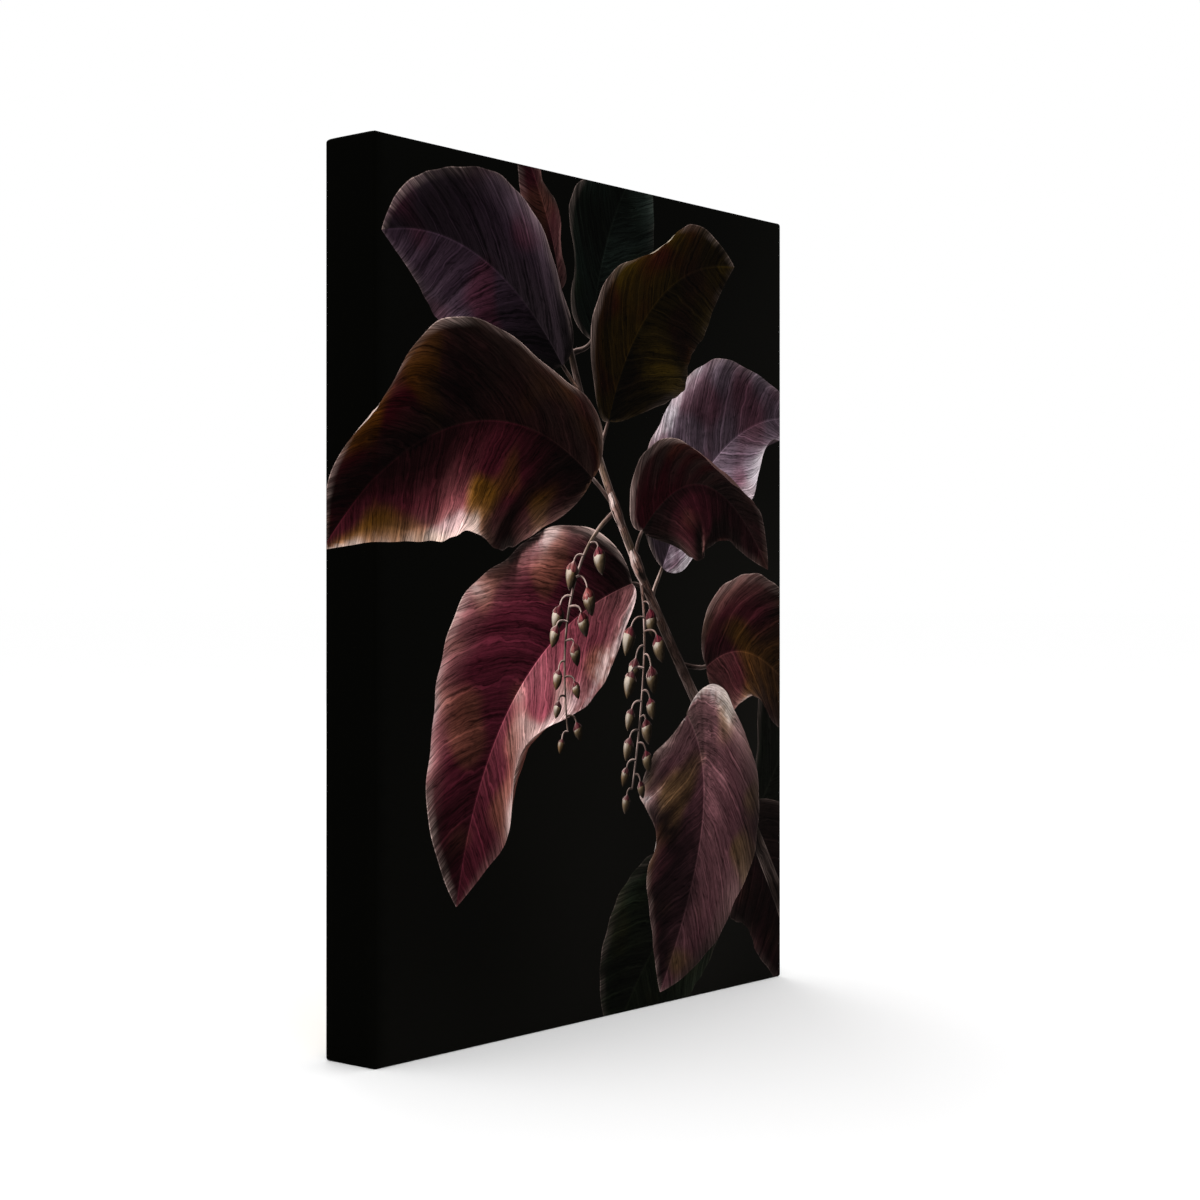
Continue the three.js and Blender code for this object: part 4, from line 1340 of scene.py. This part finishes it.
def make_bumpers():
    rubber = bumper_rubber()
    for side in ("left", "right"):
        low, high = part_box(f"bumper_{side}")
        radius = (high.x - low.x) / 2
        rise = high.y - low.y
        profile = [(0, low.y), (radius, low.y), (radius, low.y + rise * BUMPER_WALL)]
        for i in range(1, 9):
            turn = i / 8 * math.pi / 2
            out = BUMPER_CROWN + (1 - BUMPER_CROWN) * math.cos(turn)
            up = BUMPER_WALL + (1 - BUMPER_WALL) * math.sin(turn)
            profile.append((radius * out, low.y + rise * up))
        profile.append((0, high.y))
        turned_piece(f"wall_bumper_{side}", f"bumper_{side}", profile, 48, rubber)


def make_hanger():
    zinc = metal("zinc_plate", "b2afa6", 0.36, 700.0)
    softened_copy("hanger", "sawtooth_hanger", HANGER_SOFTNESS, zinc, angle=20)
    for side in ("left", "right"):
        low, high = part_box(f"hanger_nail_{side}")
        head_radius = (high.x - low.x) / 2
        seat = high.y - NAIL_DOME
        profile = [(0, low.y), (NAIL_RADIUS, low.y + NAIL_TIP), (NAIL_RADIUS, seat)]
        profile.append((head_radius * 0.96, seat))
        for i in range(7):
            turn = (0.12 + 0.88 * i / 6) * math.pi / 2
            radius = head_radius * math.cos(turn) if i < 6 else 0
            profile.append((radius, seat + NAIL_DOME * math.sin(turn)))
        turned_piece(f"nail_{side}", f"hanger_nail_{side}", profile, 32, zinc)


def staple_turn(low, high):
    """A staple's turn in the plane of the back: along x, along z, or along the corner's diagonal."""
    wide, tall = high.x - low.x, high.z - low.z
    if wide > 2 * tall:
        return 0.0
    if tall > 2 * wide:
        return math.pi / 2
    middle = (low + high) / 2
    return math.copysign(math.pi / 4, -middle.x * (middle.z - MIDDLE_Z * MM))


def staple_tree(material):
    """Geometry nodes that put a bent staple of flat wire on each point, turned by the point's own value."""
    tree = bpy.data.node_groups.new("staples_on_points", "GeometryNodeTree")
    tree.interface.new_socket("Geometry", in_out="INPUT", socket_type="NodeSocketGeometry")
    for name in STAPLE_SIZES:
        kind = "NodeSocketInt" if name == "Seed" else "NodeSocketFloat"
        tree.interface.new_socket(name, in_out="INPUT", socket_type=kind)
    tree.interface.new_socket("Geometry", in_out="OUTPUT", socket_type="NodeSocketGeometry")
    n = Nodes(tree)
    given = tree.nodes.new("NodeGroupInput").outputs

    # Four points in a row become a leg's end, a corner, a corner and a leg's end
    index = n.add("GeometryNodeInputIndex")
    half = n.math("MULTIPLY", n.math("SUBTRACT", given["Crown"], given["Wire Thickness"]), 0.5)
    side = n.math("MULTIPLY", n.math("MULTIPLY_ADD", n.math("GREATER_THAN", index, 1.5), 2.0, -1.0), half)
    at_leg_end = n.math("GREATER_THAN", n.math("ABSOLUTE", n.math("SUBTRACT", index, 1.5)), 1.0)
    level = n.math("MULTIPLY", given["Wire Thickness"], -0.5)
    deep = n.math("SUBTRACT", level, n.math("MULTIPLY", at_leg_end, n.math("ADD", given["Leg"], level)))
    line = n.add("GeometryNodeMeshLine", {"Count": 4})
    bent = n.add("GeometryNodeSetPosition", {"Geometry": line, "Position": n.combined(side, deep)})
    wire = n.add("GeometryNodeMeshToCurve", {0: bent})
    wire = n.add("GeometryNodeFilletCurve", {0: wire, "Count": 4, "Radius": given["Bend"]}, mode="POLY")
    wire = n.add("GeometryNodeSetCurveNormal", {0: wire}, mode="Z_UP")
    profile = n.add("GeometryNodeCurvePrimitiveQuadrilateral",
                    {"Width": given["Wire Thickness"], "Height": given["Wire Width"]})
    edge = n.math("MULTIPLY", given["Wire Thickness"], 0.26)
    profile = n.add("GeometryNodeFilletCurve", {0: profile, "Count": 2, "Radius": edge}, mode="POLY")
    staple = n.add("GeometryNodeCurveToMesh", {0: wire, 1: profile, "Fill Caps": True})

    wander = n.add("FunctionNodeRandomValue", {0: (-1.0, -1.0, -1.0), "Seed": given["Seed"]},
                   data_type="FLOAT_VECTOR")
    uneven = n.add("ShaderNodeVectorMath", {0: wander, "Scale": given["Unevenness"]}, operation="SCALE")
    turn = n.add("GeometryNodeInputNamedAttribute", {"Name": "turn"}, data_type="FLOAT")
    turned = n.vector("ADD", n.add("ShaderNodeCombineXYZ", {1: turn}), uneven)
    placed = n.add("GeometryNodeInstanceOnPoints",
                   {"Points": given["Geometry"], "Instance": staple, "Rotation": turned})
    solid = n.add("GeometryNodeRealizeInstances", {0: placed})
    finished = n.add("GeometryNodeSetMaterial", {0: solid, "Material": material})
    tree.links.new(finished, tree.nodes.new("NodeGroupOutput").inputs[0])
    return tree


def make_staples():
    """All the staples along the flaps, and one over each corner's ears."""
    names = sorted(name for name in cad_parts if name.startswith("staple_"))
    boxes = [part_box(name) for name in names]
    mesh = bpy.data.meshes.new("staple_places")
    mesh.from_pydata([((a.x + b.x) / 2, b.y, (a.z + b.z) / 2) for a, b in boxes], [], [])
    turns = mesh.attributes.new("turn", "FLOAT", "POINT")
    turns.data.foreach_set("value", [staple_turn(a, b) for a, b in boxes])
    places = new_object("staple_places", mesh)
    modifier = places.modifiers.new("staples", "NODES")
    modifier.node_group = staple_tree(metal("staple_steel", "b4b4b2", 0.3, 900.0))
    for item in modifier.node_group.interface.items_tree:
        if item.in_out == "INPUT" and item.name in STAPLE_SIZES:
            modifier[item.identifier] = STAPLE_SIZES[item.name]
    made = plain_mesh(places)
    bpy.data.objects.remove(places)
    made.name = "staples"
    shade_smooth(made, sharpest=50)
    dress(new_object("staples", made), names)


# ------------------------------------------------ The studio

# Each lamp: its name, its place in metres, its power and its size
LAMPS = [("window", (-1.6, -1.8, 1.4), 16.0, 1.4), ("back_fill", (1.4, 2.0, 1.2), 14.0, 1.2)]
FLOOR_REACH = 30.0
CAMERA_AZIMUTH = math.radians(-50.223)
CAMERA_DISTANCE = 1.0354
CAMERA_ASIDE = -0.00027
SENSOR_WIDTH = 36.0
FOCAL_LENGTH = 64.92


def make_floor():
    """A plain pale floor under the print's bottom edge."""
    bm = bmesh.new()
    bmesh.ops.create_grid(bm, x_segments=1, y_segments=1, size=FLOOR_REACH)
    mesh = mesh_of(bm, "studio_floor")
    floor = new_object("studio_floor", mesh)
    floor.location = (0, 0, canvas_low.z * MM)
    n = Finish("studio_floor")
    base = n.mix(n.noise(n.object_place(), 3.0, 2.0), (0.992, 0.992, 0.992), (1.0, 1.0, 1.0))
    mesh.materials.append(n.done(Base_Color=base, Roughness=1.0, Specular_IOR_Level=0.0))


def make_light():
    """Even white light from all round, a window at the front left and a fill behind."""
    world = bpy.data.worlds.new("studio")
    bpy.context.scene.world = world
    world.use_nodes = True
    background = world.node_tree.nodes["Background"]
    background.inputs["Color"].default_value = (1.0, 1.0, 1.0, 1.0)
    background.inputs["Strength"].default_value = 1.0
    for name, place, power, size in LAMPS:
        lamp = bpy.data.lights.new(name, "AREA")
        lamp.energy = power
        lamp.size = size
        light = new_object(name, lamp)
        light.location = place
        aim = Vector((0, 0, MIDDLE_Z * MM)) - light.location
        light.rotation_euler = aim.to_track_quat("-Z", "Y").to_euler()
    bpy.context.scene.view_settings.view_transform = "Standard"


def make_camera():
    """A level camera in front and to the left of the print, at the height of its middle."""
    lens = bpy.data.cameras.new("camera")
    lens.sensor_width = SENSOR_WIDTH
    lens.lens = FOCAL_LENGTH
    camera = new_object("camera", lens)
    back = Vector((math.sin(CAMERA_AZIMUTH), -math.cos(CAMERA_AZIMUTH), 0))
    right = Vector((math.cos(CAMERA_AZIMUTH), math.sin(CAMERA_AZIMUTH), 0))
    middle = Vector((0, FRONT_Y * MM, MIDDLE_Z * MM))
    camera.location = middle + back * CAMERA_DISTANCE + right * CAMERA_ASIDE
    camera.rotation_euler = (-back).to_track_quat("-Z", "Y").to_euler()
    bpy.context.scene.camera = camera


make_camera()
make_light()
make_floor()
canvas = make_canvas()
bars = make_frame()
cut_area() * MM * MM
make_keys()
make_hanger()
make_bumpers()
make_staples()
